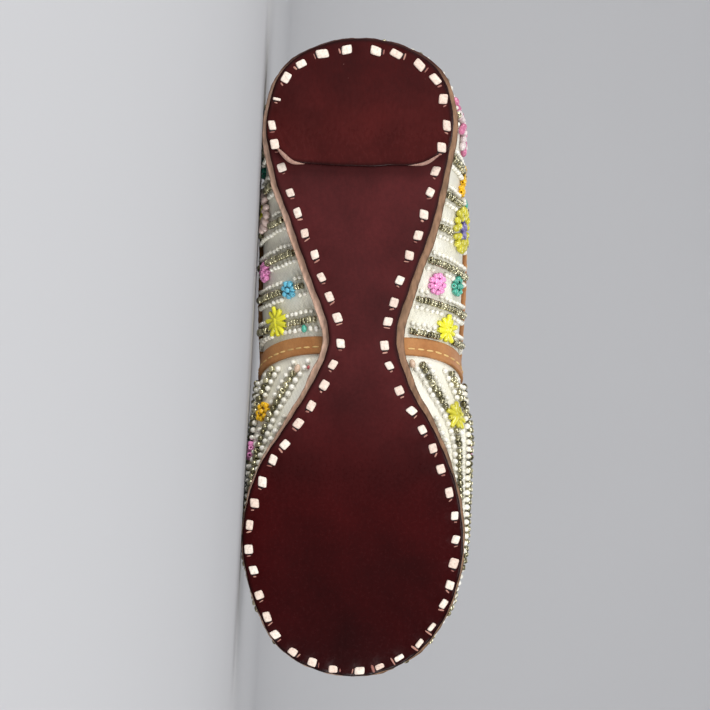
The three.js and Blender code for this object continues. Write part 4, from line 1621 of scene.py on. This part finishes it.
def sew_row_beads(name, lines, shape, radius, pitch, squash, finish, slot, lean):
    """One joined mesh of the beads of many rows, left out under flowers and straps."""
    on_vamp = "vamp" in name
    centres, frames, widths = [], [], []
    for angles, heights in lines:
        angles, heights = along_line(angles, heights, pitch)
        if len(angles) < 3:
            continue
        keep = clear_of_flowers(angles, heights, 0.5 * radius) & off_straps(angles, on_vamp)
        frame = row_frames(angles, heights)
        at_back = folded(angles)[0] < angle_at(HEEL_BACK)
        slim = np.where(at_back, min(HEEL_BACK_BEAD / radius, 1.0), 1.0)
        centre = on_wall(angles, heights, -CLOTH_OUTSIDE + radius * slim * 0.92, radius * 1.02)
        centres.append(centre[keep])
        frames.append(frame[keep])
        widths.append(slim[keep])
    centres, frames, widths = (np.concatenate(parts) for parts in (centres, frames, widths))
    nudges = chance.normal(0, 0.11 * MM, (len(centres), 3)) * (1, 1, 0.3)
    centres = centres + np.einsum("nij,nj->ni", frames, nudges)
    sizes = np.array([squash, 1.0, 1.0]) * radius * chance.uniform(0.9, 1.07, (len(centres), 1))
    sizes[:, 1:] *= widths[:, None]
    points, faces = joined(shape, centres, tilted(frames, lean), sizes)
    lowest = points[:, 2].min()
    points[:, 2] = np.maximum(points[:, 2], 0.02 * MM)
    print(len(centres), "beads, lowest", round(lowest / MM, 2), "mm")
    make_piece(name, points, faces, finish)


# name, rows, shape, radius, pitch, how short for its width, finish, slot, how far beads lean
ROW_BEADS = (
    ("pearls_quarter", quarter_lines["pearl"], BEAD_BALL, 0.98, 2.55, 1.0, pearl, "pearl_bead", 0.3),
    ("gold_beads_quarter", quarter_lines["gold"], BEAD_TUBE, 1.45, 1.6, 0.5, gold_bead, "metal_bead", 0.22),
    ("pearls_vamp", vamp_lines["pearl"], BEAD_BALL, 1.15, 2.95, 1.0, pearl, "pearl_bead", 0.3),
    ("gold_beads_vamp", vamp_lines["gold"], BEAD_TUBE, 1.45, 2.6, 0.72, gold_bead, "metal_bead", 0.5),
)
for row in ROW_BEADS:
    sew_row_beads(*row)

# %% Sew on the flowers


def on_flower(angle, height, offsets):
    """Angles and heights of places at offsets along and up the wall from a flower's middle."""
    middle = wall_point(angle, height)
    _, up, out = wall_directions(angle, height)
    along = np.cross(up, out)
    along *= np.sign(along[0])
    step = 1e-3
    angles, heights = np.full(len(offsets), angle), np.full(len(offsets), height)
    wanted = offsets[:, :1] * along + offsets[:, 1:] * up
    for _ in range(4):
        here = wall_point(angles, heights)
        by_angle = (wall_point(angles + step, heights) - here) / step
        by_height = (wall_point(angles, heights + step) - here) / step
        missing = wanted - (here - middle)
        missing = np.stack([missing @ along, missing @ up], -1)
        slopes = np.stack([
            np.stack([by_angle @ axis, by_height @ axis], -1) for axis in (along, up)
        ], 1)
        change = np.linalg.solve(slopes, missing[..., None])[..., 0]
        angles = angles + np.clip(change[:, 0], -0.1, 0.1)
        heights = np.clip(heights + change[:, 1], 0.01, 0.99)
    return angles, heights, along, up


beads_by_colour = {}
for (_, _, height, kind, size, colours), angle in zip(FLOWERS, flower_angles):
    beads = np.array(KINDS[kind](size))
    angles, heights, along, up = on_flower(angle, height, beads[:, :2])
    out = wall_directions(angles, heights)[2]
    turn = beads[:, 2:3]
    lie = np.cos(turn) * along + np.sin(turn) * up
    lie = unit(lie - out * (lie * out).sum(1, keepdims=True))
    frames = np.stack([turned(lie), turned(np.cross(out, lie)), turned(out)], -1)
    radius = beads[:, 4]
    middle_lift = np.where(np.hypot(beads[:, 0], beads[:, 1]) < size / 5, 0.35, 0.0)
    centres = on_wall(angles, heights, -CLOTH_OUTSIDE + radius * 0.95 + middle_lift, radius.max() * 1.02)
    sizes = np.column_stack([beads[:, 3], radius, radius * 0.95])
    sizes *= chance.uniform(0.9, 1.08, (len(beads), 1))
    shape = "ball" if kind in ("wheel", "daisy", "single") else "tube"
    for part in range(len(colours)):
        chosen = beads[:, 5] == part
        this_shape = "tube" if part == 1 and kind == "wheel" else shape
        group = beads_by_colour.setdefault((colours[part], this_shape), [])
        group.append((centres[chosen], tilted(frames[chosen], 0.16), sizes[chosen]))

for colour, digits in GLASS_COLOURS.items():
    points, faces = np.zeros((0, 3)), []
    for shape_name, shape in (("ball", BEAD_BALL), ("tube", BEAD_TUBE)):
        for centres, frames, sizes in beads_by_colour.get((colour, shape_name), []):
            more, more_faces = joined(shape, centres, frames, sizes)
            faces += [face + len(points) for face in more_faces]
            points = np.concatenate([points, more])
    channels = [int(digits[i : i + 2], 16) for i in (0, 2, 4)]
    darker = "".join(f"{int(channel * 0.86):02x}" for channel in channels)
    glass = make_two_tone(
        f"opaque glass bead, {colour.replace('_', ' ')}", (digits, darker),
        Roughness=0.2, IOR=1.52, Coat_Weight=0.3,
    )
    points[:, 2] = np.maximum(points[:, 2], 0.02 * MM)
    make_piece(f"flower_beads_{colour}", points, faces, glass)

# %% [markdown]
# ## Light, table and camera
# The shoe lies on a pale table that turns up behind it, as a studio's paper sweep does, so no edge
# shows. Large soft lights stand low on both sides, to reach in under the shoe, and high up in front
# and behind. None is near the camera, because the polished sole would mirror it. The camera looks
# almost square at the sole, from just above the table, with a long lens and turned so that the heel
# is at the top.

# %% The paper sweep
SWEEP_START, SWEEP_RADIUS, SWEEP_TOP = 1.1, 0.5, 2.6
SWEEP_HALF_WIDTH, TABLE_FRONT = 9.0, -9.0

paper = make_mottled(
    "pale grey paper", ("c2c2c4", "bebec0"), 1000 / 3, Roughness=0.95, Specular_IOR_Level=0.1
)
bend = np.linspace(0, np.pi / 2, 17)
profile = [(TABLE_FRONT, 0.0)]
profile += [(SWEEP_START + SWEEP_RADIUS * math.sin(t), SWEEP_RADIUS * (1 - math.cos(t))) for t in bend]
profile.append((SWEEP_START + SWEEP_RADIUS, SWEEP_TOP))
vertices = [(x, y, z) for y, z in profile for x in (-SWEEP_HALF_WIDTH, SWEEP_HALF_WIDTH)]
faces = [(2 * i, 2 * i + 1, 2 * i + 3, 2 * i + 2) for i in range(len(profile) - 1)]
sweep_mesh = bpy.data.meshes.new("paper_sweep")
sweep_mesh.from_pydata(vertices, [], faces)
sweep_mesh.polygons.foreach_set("use_smooth", np.full(len(faces), True))
sweep_mesh.materials.append(paper)
sweep = bpy.data.objects.new("paper_sweep", sweep_mesh)
bpy.context.scene.collection.objects.link(sweep)
print("the sweep rises", SWEEP_TOP, "m behind the shoe")

# %% Soft lights
world = bpy.data.worlds.new("studio")
bpy.context.scene.world = world
world.use_nodes = True
world.node_tree.nodes["Background"].inputs["Color"].default_value = linear("e4e6ea")
world.node_tree.nodes["Background"].inputs["Strength"].default_value = 0.36
bpy.context.scene.view_settings.view_transform = "Standard"

# name, place, width and height, power in watts
SOFT_LIGHTS = (
    ("front_light", (0.0, -1.9, 1.0), (1.2, 1.2), 24.0),
    ("heel_side_light", (-1.35, -1.0, 0.22), (1.0, 0.4), 16.5),
    ("toe_side_light", (1.45, -0.85, 0.22), (1.0, 0.4), 12.5),
    ("sweep_light", (0.0, 0.9, 1.9), (1.3, 1.3), 11.0),
)
for name, spot, size, power in SOFT_LIGHTS:
    light = bpy.data.lights.new(name, "AREA")
    light.shape = "ELLIPSE"
    light.size, light.size_y = size
    light.energy = power
    lamp = bpy.data.objects.new(name, light)
    lamp.location = spot
    lamp.rotation_euler = (Vector((0, 0, 0.03)) - Vector(spot)).to_track_quat("-Z", "Y").to_euler()
    lamp.visible_camera = False
    bpy.context.scene.collection.objects.link(lamp)
print("soft lights:", ", ".join(name for name, *_ in SOFT_LIGHTS))

# %% Camera
CAMERA_DISTANCE = 0.9
PICTURE_WIDTH = 0.2765  # what the picture spans at the sole
CAMERA_RISE = math.radians(1.6)
CAMERA_ROLL = math.radians(2.95)
SENSOR = 36.0

target = place((SOLE_LENGTH * 0.495, 0.0, 0.0))
forward = np.array([0.0, math.cos(CAMERA_RISE), math.sin(CAMERA_RISE)])
picture_up = np.array([-math.cos(CAMERA_ROLL), 0.0, -math.sin(CAMERA_ROLL)])
picture_right = unit(np.cross(forward, picture_up))
picture_up = np.cross(picture_right, forward)
camera_data = bpy.data.cameras.new("camera")
camera_data.sensor_width = SENSOR
camera_data.lens = SENSOR * CAMERA_DISTANCE / PICTURE_WIDTH
camera = bpy.data.objects.new("camera", camera_data)
bpy.context.scene.collection.objects.link(camera)
pose = np.eye(4)
pose[:3, :3] = np.column_stack([picture_right, picture_up, -forward])
pose[:3, 3] = target - forward * CAMERA_DISTANCE
camera.matrix_world = Matrix(pose.tolist())
bpy.context.scene.camera = camera
print("camera", round(pose[2, 3] * 1000, 1), "mm above the table")
print("lens", round(camera_data.lens, 1), "mm")
